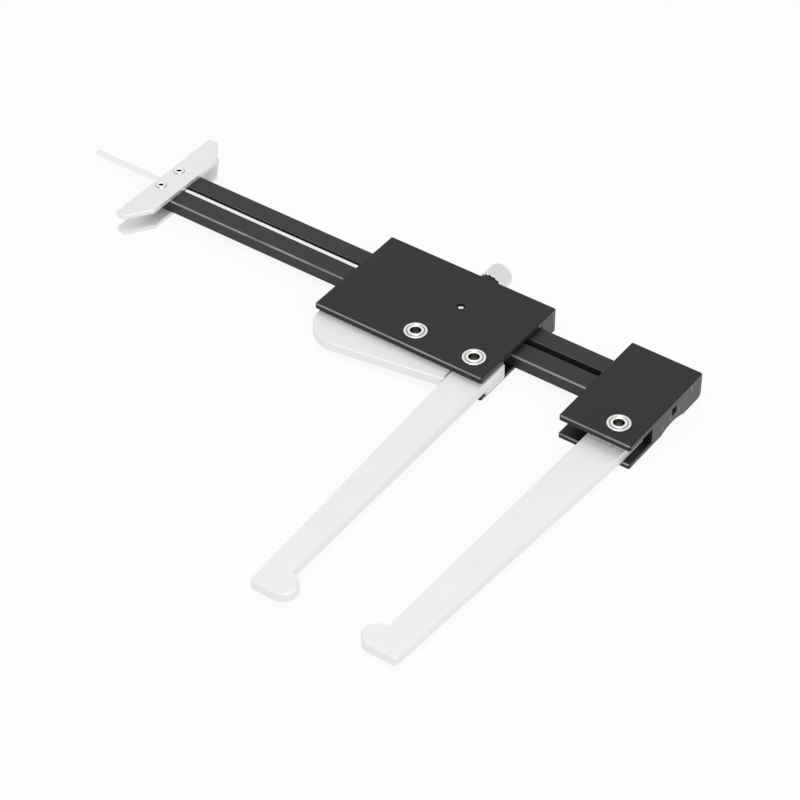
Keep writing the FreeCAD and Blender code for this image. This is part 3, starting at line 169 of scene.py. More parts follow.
def make_black_anodised(name, dark_dye, pale_dye, end_dye_and_sheen, roughness):
    """Dyed oxide over blasted aluminium, faced ends with a painted reflection, and rubbed edges with a
    painted highlight on the arms' side.
    """
    material, tree, shader, place = new_material(name, IOR=1.5, Specular_IOR_Level=0.36)
    grain, handling, dye = blasted_oxide(tree, place, dark_dye, pale_dye)

    flat_normal = add_node(tree, "ShaderNodeNewGeometry").outputs["Normal"]
    axes = add_node(tree, "ShaderNodeSeparateXYZ", {0: flat_normal})
    along_rail = add_node(tree, "ShaderNodeMath", {0: axes.outputs["X"]}, operation="ABSOLUTE")
    # End faces are found by their normal and painted lighter, with paler cutter lines: painted
    # reflection.
    is_end = add_node(tree, "ShaderNodeMapRange", {
        "Value": along_rail.outputs["Value"], "From Min": 0.8, "From Max": 0.95})
    cutter_place = add_node(tree, "ShaderNodeMapping", {
        "Vector": place, "Location": (0.0, -FACING_CENTRE_MM[0] * MM, -FACING_CENTRE_MM[1] * MM)})
    cutter_lines = add_node(tree, "ShaderNodeTexWave", {
        "Vector": cutter_place.outputs["Vector"], "Scale": mm_scale(FACING_LINE_MM) / (2 * math.pi),
        "Distortion": 2.0, "Detail": 3.0, "Detail Scale": 1.5}, wave_type="RINGS", rings_direction="X")
    broken_lines = add_node(tree, "ShaderNodeTexNoise", {
        "Vector": place, "Scale": mm_scale(FACING_PATCH_MM), "Detail": 2.0})
    cut = add_node(tree, "ShaderNodeMath", {
        0: cutter_lines.outputs["Fac"], 1: broken_lines.outputs["Fac"]}, operation="MULTIPLY")
    line_share = add_node(tree, "ShaderNodeMapRange", {
        "Value": cut.outputs["Value"], "From Min": 0.5, "From Max": 0.68})
    faced_lines_and_sheen = add_node(tree, "ShaderNodeMix", {
        "Factor": line_share.outputs["Result"], "A": linear(end_dye_and_sheen), "B": linear(FACING_LINE_SHEEN)},
        data_type="RGBA")
    faced = add_node(tree, "ShaderNodeMix", {
        "Factor": is_end.outputs["Result"], "A": dye, "B": faced_lines_and_sheen.outputs[2]},
        data_type="RGBA")

    # Edges facing the arms get pale bare metal: wear, and a painted highlight line where a glint would
    # fall.
    round_normal = add_node(tree, "ShaderNodeBevel", {"Radius": EDGE_WEAR_AND_GLINT_MM * MM}, samples=6)
    towards_arms = add_node(tree, "ShaderNodeVectorMath", {
        0: round_normal.outputs["Normal"], 1: WORN_AND_GLINT_EDGE_NORMAL}, operation="DOT_PRODUCT")
    rubbed_and_glint = add_node(tree, "ShaderNodeMapRange", {
        "Value": towards_arms.outputs["Value"], "From Min": 0.78, "From Max": 0.97,
        "To Max": LARGEST_WEAR_AND_GLINT})
    patchy_wear_and_glint = add_node(tree, "ShaderNodeMath", {
        0: rubbed_and_glint.outputs["Result"], 1: handling}, operation="MULTIPLY")
    colour = add_node(tree, "ShaderNodeMix", {
        "Factor": patchy_wear_and_glint.outputs["Value"], "A": faced.outputs[2], "B": linear(BARE_METAL_AND_GLINT)},
        data_type="RGBA")

    rough = add_node(tree, "ShaderNodeMapRange", {
        "Value": handling, "To Min": roughness - ROUGHNESS_SPREAD,
        "To Max": roughness + ROUGHNESS_SPREAD})
    end_rough = add_node(tree, "ShaderNodeMix", {
        "Factor": is_end.outputs["Result"], "A": rough.outputs["Result"], "B": FACING_ROUGHNESS})
    line_height = add_node(tree, "ShaderNodeMath", {
        0: cutter_lines.outputs["Fac"], 1: is_end.outputs["Result"]}, operation="MULTIPLY")
    blast_bump = add_node(tree, "ShaderNodeBump", {
        "Height": grain, "Strength": 0.25, "Distance": BLAST_DEPTH_MM * MM})
    bump = add_node(tree, "ShaderNodeBump", {
        "Height": line_height.outputs["Value"], "Strength": 0.3,
        "Distance": FACING_DEPTH_MM * MM, "Normal": blast_bump.outputs["Normal"]})
    tree.links.new(colour.outputs[2], shader.inputs["Base Color"])
    tree.links.new(patchy_wear_and_glint.outputs["Value"], shader.inputs["Metallic"])
    tree.links.new(end_rough.outputs[0], shader.inputs["Roughness"])
    tree.links.new(bump.outputs["Normal"], shader.inputs["Normal"])
    return material


# The third colour is the lighter colour of the end faces, a painted reflection.
black_anodised = make_black_anodised("black_anodised_aluminium", "0f0f10", "151516", "2a2a2c", 0.45)
rail_anodised = make_black_anodised("black_anodised_rail", "232324", "2a2a2b", "2f2f31", 0.42)
print("made", black_anodised.name, "and", rail_anodised.name)

# %% [markdown]
# ## Clear anodised aluminium
# Arms, lever and crosshead are the same alloy, blasted and anodised clear. It is a metal, so it
# takes its brightness from what it mirrors, but the grain and the clear oxide over it scatter much of
# that into an even, nearly white satin. Metallic stands at one half, so that the oxide's white scatter
# and the metal's mirror have equal shares, as the photograph shows where a dark plate is near.

# %% Clear anodised aluminium
FINE_BLAST_DEPTH_MM = 0.02


def make_silver_anodised():
    """Clear oxide over blasted aluminium."""
    material, tree, shader, place = new_material("clear_anodised_aluminium", Metallic=0.5)
    grain, handling, colour = blasted_oxide(tree, place, "eeeeee", "f4f4f4")
    rough = add_node(tree, "ShaderNodeMapRange", {"Value": handling, "To Min": 0.42, "To Max": 0.52})
    bump = add_node(tree, "ShaderNodeBump", {
        "Height": grain, "Strength": 0.2, "Distance": FINE_BLAST_DEPTH_MM * MM})
    tree.links.new(colour, shader.inputs["Base Color"])
    tree.links.new(rough.outputs["Result"], shader.inputs["Roughness"])
    tree.links.new(bump.outputs["Normal"], shader.inputs["Normal"])
    return material


silver_anodised = make_silver_anodised()
print("made", silver_anodised.name)

# %% [markdown]
# ## Turned and drawn metals
# Rivets and knob are turned steel with bright nickel, the rod is ground, and the inner pieces are
# brass, bronze and wire. Each has fine lines that run the way its tool went, drawn by a noise that
# is stretched along that way. Plating hardly reaches the inside of a narrow tube or a groove, so an
# attribute of the rivets turns the metal dull and dark there: duller metal, and painted shade in
# those hollows. Real tool lines lie some 0.05 mm apart, and are drawn at twice that or more so that
# they show.

# %% Turned and drawn metals
# Dark dull colour of the rivets' bores and grooves: duller metal, and painted shade in those hollows.
TARNISH_AND_SHADE = "9a9894"
SMOOTHEST, ROUGHEST = 0.8, 1.25


def make_worked_metal(name, colour, dark_colour, roughness, line_mm, stretch, height_mm):
    """Bare or plated metal with fine tool lines, which stretch makes longer along X, Y and Z."""
    material, tree, shader, place = new_material(name, Metallic=1.0)
    mapping = add_node(tree, "ShaderNodeMapping", {
        "Vector": place, "Scale": [mm_scale(line_mm) / s for s in stretch]})
    lines = add_node(tree, "ShaderNodeTexNoise", {
        "Vector": mapping.outputs["Vector"], "Scale": 1.0, "Detail": 4.0, "Roughness": 0.6})
    tone = add_node(tree, "ShaderNodeMix", {
        "Factor": lines.outputs["Fac"], "A": linear(dark_colour), "B": linear(colour)},
        data_type="RGBA")
    rough = add_node(tree, "ShaderNodeMapRange", {
        "Value": lines.outputs["Fac"], "To Min": roughness * SMOOTHEST,
        "To Max": roughness * ROUGHEST})
    bump = add_node(tree, "ShaderNodeBump", {
        "Height": lines.outputs["Fac"], "Strength": 0.3, "Distance": height_mm * MM})
    # This attribute darkens the rivets' bores and grooves: dull metal and painted shade.
    tarnish_and_shade = add_node(tree, "ShaderNodeAttribute", attribute_name="tarnish_and_shade")
    plated = add_node(tree, "ShaderNodeMix", {
        "Factor": tarnish_and_shade.outputs["Fac"], "A": tone.outputs[2], "B": linear(TARNISH_AND_SHADE)},
        data_type="RGBA")
    tree.links.new(plated.outputs[2], shader.inputs["Base Color"])
    tree.links.new(rough.outputs["Result"], shader.inputs["Roughness"])
    tree.links.new(bump.outputs["Normal"], shader.inputs["Normal"])
    return material


nickel_plate = make_worked_metal("bright_nickel_plate", "f7f6f4", "e9e8e6", 0.12, 0.25, (1, 1, 1), 0.01)
satin_nickel = make_worked_metal("satin_nickel_plate", "ececec", "d6d6d6", 0.24, 0.2, (1, 8, 1), 0.01)
ground_steel = make_worked_metal("ground_steel", "fafafa", "f0f0f0", 0.22, 0.12, (30, 1, 1), 0.01)
spring_wire = make_worked_metal("drawn_spring_wire", "9a9a9c", "77777a", 0.3, 0.1, (6, 6, 1), 0.01)
black_steel = make_worked_metal("oil_blackened_steel", "3a3a3c", "232325", 0.35, 0.2, (1, 4, 1), 0.01)
bronze = make_worked_metal("rolled_bronze_strip", "c89a62", "a87c48", 0.3, 0.12, (25, 1, 1), 0.01)
brass = make_worked_metal("turned_brass", "d9b56a", "bd9950", 0.28, 0.12, (4, 1, 4), 0.01)

FINISH_OF_NODE = {
    "rail": rail_anodised, "fixed_block": black_anodised, "carriage_housing": black_anodised,
    "lock_collar": black_anodised,
    "crosshead_upper_plate": silver_anodised, "crosshead_lower_plate": silver_anodised,
    "fixed_arm": silver_anodised, "swing_arm": silver_anodised, "release_lever": silver_anodised,
    "crosshead_rivets": nickel_plate, "fixed_arm_rivet": nickel_plate, "swing_arm_rivet": nickel_plate,
    "lever_rivet": nickel_plate, "lock_knob": satin_nickel,
    "depth_rod": ground_steel, "stop_pin": ground_steel, "lock_screw": ground_steel,
    "lever_spacer": ground_steel, "lever_spring": spring_wire, "rail_clamp_screws": black_steel,
    "gib_strip": bronze, "lock_pad": brass,
}
for node_name, finish in FINISH_OF_NODE.items():
    mesh = frame["nodes"][node_name].data
    mesh.materials.clear()
    mesh.materials.append(finish)
print("finished", len(FINISH_OF_NODE), "of", len(frame["nodes"]), "pieces")

# %% [markdown]
# ## Helpers for shapes
# Turned pieces come from a half section that is carried round an axis, as a lathe makes them. What
# repeats or follows a path comes from Geometry Nodes: each tree has named inputs, ends in Realize
# Instances and Set Material, and is then turned to a plain mesh, because the exporter drops instances.

# %% Meshes from sections and paths
WELD_MM = 0.0005


def millimetres(vector):
    """A place of the frame in millimetres."""
    return [c / MM for c in vector]


def middle_of(node):
    """Middle of a node's box in millimetres."""
    low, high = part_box(node)
    return millimetres((low + high) / 2)


def piece_from(name, mesh):
    """Link a mesh as a new object of the scene."""
    piece = bpy.data.objects.new(name, mesh)
    bpy.context.scene.collection.objects.link(piece)
    return piece


def arc(centre, radius, first_degrees, last_degrees, steps):
    """Points of an arc in a section, as pairs of distance from the axis and height."""
    angles = [math.radians(first_degrees + (last_degrees - first_degrees) * i / steps)
              for i in range(steps + 1)]
    return [(centre[0] + radius * math.cos(a), centre[1] + radius * math.sin(a)) for a in angles]


def turned_mesh(name, section_mm, segments=64):
    """Solid of revolution about Z from a closed half section in millimetres."""
    shape = bmesh.new()
    turns = [2 * math.pi * i / segments for i in range(segments)]
    rings = [[shape.verts.new((r * math.cos(t) * MM, r * math.sin(t) * MM, z * MM)) for t in turns]
             for r, z in section_mm]
    for low, high in zip(rings, rings[1:] + rings[:1]):
        for i in range(segments):
            j = (i + 1) % segments
            shape.faces.new((low[i], low[j], high[j], high[i]))
    return finished_mesh(name, shape)


def finished_mesh(name, shape, sharp_degrees=35):
    """Merge doubles, point the faces outwards, and shade smooth except at sharp edges."""
    bmesh.ops.remove_doubles(shape, verts=shape.verts, dist=WELD_MM * MM)
    bmesh.ops.recalc_face_normals(shape, faces=shape.faces)
    for face in shape.faces:
        face.smooth = True
    mesh = bpy.data.meshes.new(name)
    shape.to_mesh(mesh)
    shape.free()
    mesh.set_sharp_from_angle(angle=math.radians(sharp_degrees))
    return mesh


def path_mesh(name, points_mm, thickness):
    """Line of edges with the wire's relative thickness at each point."""
    mesh = bpy.data.meshes.new(name)
    mesh.from_pydata([[c * MM for c in point] for point in points_mm],
                     [(i, i + 1) for i in range(len(points_mm) - 1)], [])
    mesh.attributes.new("thickness", "FLOAT", "POINT").data.foreach_set("value", thickness)
    return mesh


print("a quarter turn in three points", [[round(c, 2) for c in p] for p in arc((0, 0), 1, 0, 90, 2)])

# %% Trees of Geometry Nodes
def new_tree(name, inputs):
    """Empty tree with a geometry input and the named inputs, and its input node."""
    tree = bpy.data.node_groups.new(name, "GeometryNodeTree")
    tree.interface.new_socket("Geometry", in_out="INPUT", socket_type="NodeSocketGeometry")
    for label, kind in inputs.items():
        tree.interface.new_socket(label, in_out="INPUT", socket_type=f"NodeSocket{kind}")
    tree.interface.new_socket("Geometry", in_out="OUTPUT", socket_type="NodeSocketGeometry")
    return tree, add_node(tree, "NodeGroupInput").outputs


def end_tree(tree, geometry, finish):
    """Realize Instances and Set Material, then the output."""
    real = add_node(tree, "GeometryNodeRealizeInstances", {"Geometry": geometry})
    dressed = add_node(tree, "GeometryNodeSetMaterial", {
        "Geometry": real.outputs["Geometry"], "Material": finish})
    add_node(tree, "NodeGroupOutput", {"Geometry": dressed.outputs["Geometry"]})


def grow(piece, tree, **settings):
    """Run a tree on a piece, and keep the result as the piece's plain mesh."""
    modifier = piece.modifiers.new(tree.name, "NODES")
    modifier.node_group = tree
    for socket in tree.interface.items_tree:
        label = socket.name.lower().replace(" ", "_")
        if socket.in_out == "INPUT" and label in settings:
            modifier[socket.identifier] = settings[label]
    graph = bpy.context.evaluated_depsgraph_get()
    grown = bpy.data.meshes.new_from_object(piece.evaluated_get(graph), depsgraph=graph)
    piece.modifiers.clear()
    shape = bmesh.new()
    shape.from_mesh(grown)
    piece.data = finished_mesh(piece.name, shape)
    piece.data.materials.append(settings["finish"])
    print(piece.name, len(piece.data.polygons), "faces")
    return piece


# %% [markdown]
# ## Hollow rivets
# Each pivot is a tube whose upper end is rolled outwards over a washer, and whose lower end is
# flattened into a seat in the underside. The photograph shows the washer as a bright outer ring, then a
# thin groove, the raised roll and the dark bore. One turned master serves each size, and a tree sets a
# copy at every place with its own turn, because the tool lines never line up on real ones.

# %% Rivet masters
ROLL_STEPS = 8
ROLL_FOOT_MM = 0.3
TUBE_WALL_MM = 0.7
GROOVE_FLOOR_MM = 0.1
GROOVE_TOP_MM = 0.3
WASHER_GAP_MM = 0.01
WASHER_EDGE_SHARE = 0.6
TAIL_EDGE_SHARE = 0.45
SMALL_ROLL_PROUD_MM = 0.85
SMALL_HEAD_IN_SOLIDS_MM = 2.8
NEAR_MM = 0.02


def rivet_section(bore, roll, groove, washer, plate_top, washer_thick, roll_top,
                  tail, tail_top, bottom):
    """Half section of a hollow rivet in millimetres. bore, roll, washer and tail are radii."""
    roll_radius = (roll - bore) / 2
    roll_centre = (bore + roll_radius, roll_top - roll_radius)
    washer_top = plate_top + washer_thick
    edge = washer_thick * WASHER_EDGE_SHARE
    tail_edge = (tail_top - bottom) * TAIL_EDGE_SHARE
    groove_floor = plate_top + GROOVE_FLOOR_MM
    tube = bore + TUBE_WALL_MM
    return (
        [(bore, roll_centre[1] - ROLL_FOOT_MM)]
        + arc(roll_centre, roll_radius, 180, 8, ROLL_STEPS)
        + [(roll + 0.05, groove_floor), (roll + groove, groove_floor)]
        + arc((roll + groove + edge, washer_top - edge), edge, 180, 90, 3)
        + arc((washer - edge, washer_top - edge), edge, 90, 0, 4)
        + [(washer, plate_top + WASHER_GAP_MM), (tube, plate_top + WASHER_GAP_MM), (tube, tail_top)]
        + arc((tail - tail_edge, tail_top - tail_edge), tail_edge, 90, 0, 3)
        + arc((tail - tail_edge, bottom + tail_edge), tail_edge, 0, -90, 3)
        + arc((bore + tail_edge, bottom + tail_edge), tail_edge, -90, -180, 3)
    )


def rivet_master(name, bore, mouth, roll, groove, **sizes):
    """Turned rivet about its own axis, with how much dull metal and painted shade each point gets, from
    0 to 1.
    """
    mesh = turned_mesh(name, rivet_section(bore=bore, roll=roll, groove=groove, **sizes))
    # Points in the bore and the groove get the dark colour, which is partly painted shade.
    tarnish_and_shade = []
    for point in mesh.vertices:
        reach, height = math.hypot(point.co.x, point.co.y) / MM, point.co.z / MM
        in_bore = reach < bore + NEAR_MM and height < mouth
        beside_roll = roll - NEAR_MM / 2 < reach < roll + groove + NEAR_MM
        in_groove = beside_roll and mouth < height < mouth + GROOVE_TOP_MM
        tarnish_and_shade.append(1.0 if in_bore or in_groove else 0.0)
    mesh.attributes.new("tarnish_and_shade", "FLOAT", "POINT").data.foreach_set("value", tarnish_and_shade)
    return piece_from(name, mesh)


pivot_low, pivot_high = (millimetres(c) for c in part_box("fixed_arm_rivet"))
block_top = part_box("fixed_block")[1].z / MM
pivot_master = rivet_master(
    "pivot_rivet_master", bore=2.5, mouth=block_top, roll=3.95, groove=0.35, washer=pivot_high[0],
    plate_top=block_top, washer_thick=0.45, roll_top=pivot_high[2],
    tail=4.78, tail_top=0.78, bottom=pivot_low[2] + 0.01)
small_low, small_high = (millimetres(c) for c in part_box("crosshead_rivets"))
crosshead_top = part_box("crosshead_upper_plate")[1].z / MM
crosshead_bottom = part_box("crosshead_lower_plate")[0].z / MM
small_master = rivet_master(
    "small_rivet_master", bore=1.0, mouth=crosshead_top, roll=2.5, groove=0.2, washer=2.95,
    plate_top=crosshead_top, washer_thick=0.16, roll_top=crosshead_top + SMALL_ROLL_PROUD_MM,
    tail=2.78, tail_top=crosshead_bottom, bottom=small_low[2])
print("rivet masters", len(pivot_master.data.polygons), len(small_master.data.polygons))

# %% Rivets set in place
rivet_tree, rivet_in = new_tree("rivets_at_places", {
    "Master": "Object", "Largest turn": "Float", "Seed": "Int", "Finish": "Material"})
rivet_copy = add_node(rivet_tree, "GeometryNodeObjectInfo", {"Object": rivet_in["Master"]})
rivet_turn_limit = add_node(rivet_tree, "ShaderNodeCombineXYZ", {"Z": rivet_in["Largest turn"]})
rivet_turn = add_node(rivet_tree, "FunctionNodeRandomValue", {
    "Max": rivet_turn_limit.outputs["Vector"], "Seed": rivet_in["Seed"]}, data_type="FLOAT_VECTOR")
rivet_row = add_node(rivet_tree, "GeometryNodeInstanceOnPoints", {
    "Points": rivet_in["Geometry"], "Instance": rivet_copy.outputs["Geometry"],
    "Rotation": rivet_turn.outputs["Value"]})
end_tree(rivet_tree, rivet_row.outputs["Instances"], rivet_in["Finish"])


def set_rivets(name, body, master, places, nodes):
    """Copies of a master at places in the plane of the plates, in millimetres, for one body."""
    spots = bpy.data.meshes.new(name)
    spots.from_pydata([(x * MM, y * MM, 0.0) for x, y in places], [], [])
    row = grow(piece_from(name, spots), rivet_tree, master=master, largest_turn=2 * math.pi, seed=3,
               finish=nickel_plate)
    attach(row, body)
    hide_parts(*nodes)


small_x, rail_y = middle_of("crosshead_rivets")[:2]
small_reach = small_high[1] - SMALL_HEAD_IN_SOLIDS_MM - rail_y
set_rivets("fixed_arm_hollow_rivet", "rail_unit", pivot_master, [(0.0, 0.0)], ["fixed_arm_rivet"])
set_rivets("carriage_hollow_rivets", "carriage", pivot_master,
           [(middle_of("swing_arm_rivet")[0], 0.0), (middle_of("lever_rivet")[0], 0.0)],
           ["swing_arm_rivet", "lever_rivet"])
set_rivets("crosshead_hollow_rivets", "rail_unit", small_master,
           [(small_x, rail_y - small_reach), (small_x, rail_y + small_reach)], ["crosshead_rivets"])
for master in (pivot_master, small_master):
    bpy.data.objects.remove(master)

# %% [markdown]
# ## Fluted lock knob
# The knob is turned, and its grip is sixteen round flutes along its length. They could be cut from a
# plain knob with a Boolean, which leaves uneven faces at the rounded end. Here one land with half a
# flute on each side is drawn once as a sector, and a tree sets sixteen of them round the axis and
# merges their seams.

# %% Knob sector
FLUTES = 16
FLUTE_DEPTH_MM = 0.6
SECTOR_STEPS = 10
END_ROUND_MM = 1.2
BASE_BEVEL_MM = 0.3
BASE_RIM_MM = 1.6
KNOB_BORE_MM = 2.05
BORE_END_MM = 7.3
DISH_SHARE = 0.55
DISH_MM = 0.15

knob_low, knob_high = (millimetres(c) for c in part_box("lock_knob"))
knob_axis = ((knob_low[0] + knob_high[0]) / 2, (knob_low[2] + knob_high[2]) / 2)
knob_radius = (knob_high[0] - knob_low[0]) / 2
knob_length = knob_high[1] - knob_low[1]
knob_section = [
    (0.0, BORE_END_MM, 0.0), (KNOB_BORE_MM, BORE_END_MM, 0.0), (KNOB_BORE_MM, 0.0, 0.0),
    (knob_radius - BASE_RIM_MM, 0.0, 0.0), (knob_radius - BASE_BEVEL_MM, 0.0, 1.0),
    (knob_radius, BASE_BEVEL_MM, 1.0), (knob_radius, knob_length - END_ROUND_MM, 1.0),
]
end_round_centre = (knob_radius - END_ROUND_MM, knob_length - END_ROUND_MM)
for reach, height in arc(end_round_centre, END_ROUND_MM, 15, 90, 5):
    knob_section.append((reach, height, (reach - knob_radius + END_ROUND_MM) / END_ROUND_MM))
knob_section += [(knob_radius * DISH_SHARE, knob_length, 0.0), (0.0, knob_length - DISH_MM, 0.0)]

sector = bmesh.new()
sector_rows = []
for reach, height, flute in knob_section:
    row = []
    for step in range(SECTOR_STEPS + 1):
        share = step / SECTOR_STEPS - 0.5
        turn = share * 2 * math.pi / FLUTES
        r = reach - flute * FLUTE_DEPTH_MM * math.sin(math.pi * share) ** 2
        row.append(sector.verts.new((r * math.sin(turn) * MM, height * MM, r * math.cos(turn) * MM)))
    sector_rows.append(row)
for low, high in zip(sector_rows, sector_rows[1:]):
    for i in range(SECTOR_STEPS):
        sector.faces.new((low[i], low[i + 1], high[i + 1], high[i]))
sector_mesh = bpy.data.meshes.new("knob_sector")
sector.to_mesh(sector_mesh)
sector.free()
knob_sector = piece_from("knob_sector", sector_mesh)
print("knob sector", len(knob_sector.data.polygons), "faces, knob radius", round(knob_radius, 2))

# %% Knob
knob_tree, knob_in = new_tree("sectors_round_an_axis", {
    "Sector": "Object", "Sectors": "Int", "Seam": "Float", "Finish": "Material"})
knob_copy = add_node(knob_tree, "GeometryNodeObjectInfo", {"Object": knob_in["Sector"]})
knob_points = add_node(knob_tree, "GeometryNodePoints", {"Count": knob_in["Sectors"]})
knob_step = add_node(knob_tree, "ShaderNodeMath", {
    0: 2 * math.pi, 1: knob_in["Sectors"]}, operation="DIVIDE")
knob_index = add_node(knob_tree, "GeometryNodeInputIndex")
knob_angle = add_node(knob_tree, "ShaderNodeMath", {
    0: knob_index.outputs["Index"], 1: knob_step.outputs["Value"]}, operation="MULTIPLY")
knob_turn = add_node(knob_tree, "ShaderNodeCombineXYZ", {"Y": knob_angle.outputs["Value"]})
knob_ring = add_node(knob_tree, "GeometryNodeInstanceOnPoints", {
    "Points": knob_points.outputs["Points"], "Instance": knob_copy.outputs["Geometry"],
    "Rotation": knob_turn.outputs["Vector"]})
knob_real = add_node(knob_tree, "GeometryNodeRealizeInstances", {
    "Geometry": knob_ring.outputs["Instances"]})
knob_whole = add_node(knob_tree, "GeometryNodeMergeByDistance", {
    "Geometry": knob_real.outputs["Geometry"], "Distance": knob_in["Seam"]})
end_tree(knob_tree, knob_whole.outputs["Geometry"], knob_in["Finish"])

fluted_knob = grow(piece_from("fluted_lock_knob", bpy.data.meshes.new("fluted_lock_knob")), knob_tree,
                   sector=knob_sector, sectors=FLUTES, seam=0.001 * MM, finish=satin_nickel)
fluted_knob.data.transform(Matrix.Translation(
    Vector((knob_axis[0], knob_low[1], knob_axis[1])) * MM))
bpy.data.objects.remove(knob_sector)
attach(fluted_knob, "clamp_knob")
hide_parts("lock_knob")

# %% [markdown]
# ## Rod, spring and thread
# These are wires: a round section carried along a line. A curve with a bevel would do for one of them,
# but one tree with the section's size as an input does all three. The depth rod lies in the rail's
# groove and turns up into the housing, with its two ends bevelled. The spring is wound round the
# lever's spacer, leans on the stop pin and hooks into the lever. The lock screw's thread is a ridge
# wound on a core.

# %% Wire tree
wire_tree, wire_in = new_tree("wire_along_a_line", {
    "Wire radius": "Float", "Sides": "Int", "Finish": "Material"})
wire_line = add_node(wire_tree, "GeometryNodeMeshToCurve", {"Mesh": wire_in["Geometry"]})
wire_ring = add_node(wire_tree, "GeometryNodeCurvePrimitiveCircle", {
    "Resolution": wire_in["Sides"], "Radius": wire_in["Wire radius"]})
wire_scale = add_node(wire_tree, "GeometryNodeInputNamedAttribute", {
    "Name": "thickness"}, data_type="FLOAT")
wire_body = add_node(wire_tree, "GeometryNodeCurveToMesh", {
    "Curve": wire_line.outputs["Curve"], "Profile Curve": wire_ring.outputs["Curve"],
    "Scale": wire_scale.outputs["Attribute"], "Fill Caps": True})
end_tree(wire_tree, wire_body.outputs["Mesh"], wire_in["Finish"])


def wire_piece(name, points_mm, radius_mm, sides, finish, thickness=None):
    """Round wire along points in millimetres."""
    line = path_mesh(name, points_mm, thickness or [1.0] * len(points_mm))
    return grow(piece_from(name, line), wire_tree, wire_radius=radius_mm * MM, sides=sides,
                finish=finish)


print("wire tree", len(wire_tree.nodes), "nodes")

# %% Depth rod
ROD_BEND_MM = 2.4
ROD_BEVEL_MM = 0.3
ROD_SUNK_MM = 0.5
ROD_SIDES = 48
rod_low, rod_high = (millimetres(c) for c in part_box("depth_rod"))
rod_radius = (rod_high[1] - rod_low[1]) / 2
rod_y = (rod_high[1] + rod_low[1]) / 2
rod_z = rod_low[2] + rod_radius
upright_x = rod_high[0] - rod_radius
bend = arc((upright_x - ROD_BEND_MM, rod_z + ROD_BEND_MM), ROD_BEND_MM, -90, 0, 8)
rod_line = [(rod_low[0], rod_z), (rod_low[0] + ROD_BEVEL_MM, rod_z)] + bend
rod_top = rod_high[2] - ROD_SUNK_MM
rod_line += [(upright_x, rod_top - ROD_BEVEL_MM), (upright_x, rod_top)]
rod_thickness = [1.0] * len(rod_line)
rod_thickness[0] = rod_thickness[-1] = 1.0 - ROD_BEVEL_MM / rod_radius
depth_rod = wire_piece("bevelled_depth_rod", [(x, rod_y, z) for x, z in rod_line], rod_radius,
                       ROD_SIDES, ground_steel, rod_thickness)
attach(depth_rod, "carriage")
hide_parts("depth_rod")

# %% Lever spring
SPRING_RADIUS_MM = 4.6
SPRING_WIRE_MM = 0.7
SPRING_PITCH_MM = 0.72
SPRING_TURNS = 1.75
SPRING_LEG_MM = 8.0
HOOK_BEND_MM = 1.0
PIN_CLEARANCE_MM = 0.1
TURN_STEPS = 40
SPRING_SIDES = 12

spring_low, spring_high = (millimetres(c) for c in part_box("lever_spring"))
lever_pivot = Vector(next(j["pos_m"] for j in frame["joints"] if j["name"] == "lever_pivot"))
pin = middle_of("stop_pin")
pin_radius = (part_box("stop_pin")[1].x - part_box("stop_pin")[0].x) / MM / 2
pin_dx, pin_dy = pin[0] - lever_pivot.x / MM, pin[1]
pin_distance = math.hypot(pin_dx, pin_dy)
leg_offset = SPRING_RADIUS_MM - pin_radius - SPRING_WIRE_MM / 2 - PIN_CLEARANCE_MM
spring_turn = math.atan2(pin_dy, pin_dx) + math.asin(leg_offset / pin_distance)
coil_z = spring_low[2] + SPRING_WIRE_MM / 2
hook = arc((HOOK_BEND_MM, coil_z + HOOK_BEND_MM), HOOK_BEND_MM, 180, 270, 6)
spring_line = [(SPRING_RADIUS_MM, -SPRING_LEG_MM - HOOK_BEND_MM, spring_high[2])]
spring_line += [(SPRING_RADIUS_MM, along - SPRING_LEG_MM - HOOK_BEND_MM, z) for along, z in hook]
for step in range(int(SPRING_TURNS * TURN_STEPS) + 1):
    angle = 2 * math.pi * step / TURN_STEPS
    spring_line.append((SPRING_RADIUS_MM * math.cos(angle), SPRING_RADIUS_MM * math.sin(angle),
                        coil_z + SPRING_PITCH_MM * step / TURN_STEPS))
spring_line.append((pin_distance - pin_radius / 2, -SPRING_RADIUS_MM, spring_line[-1][2]))
lever_spring = wire_piece("round_wire_spring", spring_line, SPRING_WIRE_MM / 2, SPRING_SIDES,
                          spring_wire)
spring_place = Matrix.Translation((lever_pivot.x, 0.0, 0.0)) @ Matrix.Rotation(spring_turn, 4, "Z")
lever_spring.data.transform(spring_place)
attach(lever_spring, "lever")
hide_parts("lever_spring")
print("spring leans on the pin at", round(math.degrees(spring_turn), 2), "degrees")

# %% Thread of the lock screw
THREAD_PITCH_MM = 0.7
THREAD_RIDGE_MM = 0.26
THREAD_STEPS = 24
RIDGE_SIDES = 8
CORE_SIDES = 32
CORE_BELOW_RIDGES = 1.4
TIP_LENGTH_MM = 1.0
TIP_RADIUS_MM = 1.0

screw_low, screw_high = (millimetres(c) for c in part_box("lock_screw"))
screw_radius = (screw_high[0] - screw_low[0]) / 2
thread_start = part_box("lock_collar")[1].y / MM - 2 * THREAD_PITCH_MM
thread_turns = (knob_low[1] + THREAD_PITCH_MM - thread_start) / THREAD_PITCH_MM
ridge_line = []
for step in range(int(thread_turns * THREAD_STEPS) + 1):
    angle = 2 * math.pi * step / THREAD_STEPS
    reach = screw_radius - THREAD_RIDGE_MM
    ridge_line.append((knob_axis[0] + reach * math.sin(angle),
                       thread_start + THREAD_PITCH_MM * step / THREAD_STEPS,
                       knob_axis[1] + reach * math.cos(angle)))
screw_thread = wire_piece("lock_screw_thread", ridge_line, THREAD_RIDGE_MM, RIDGE_SIDES, ground_steel)
core_radius = screw_radius - CORE_BELOW_RIDGES * THREAD_RIDGE_MM
shoulder = screw_low[1] + TIP_LENGTH_MM
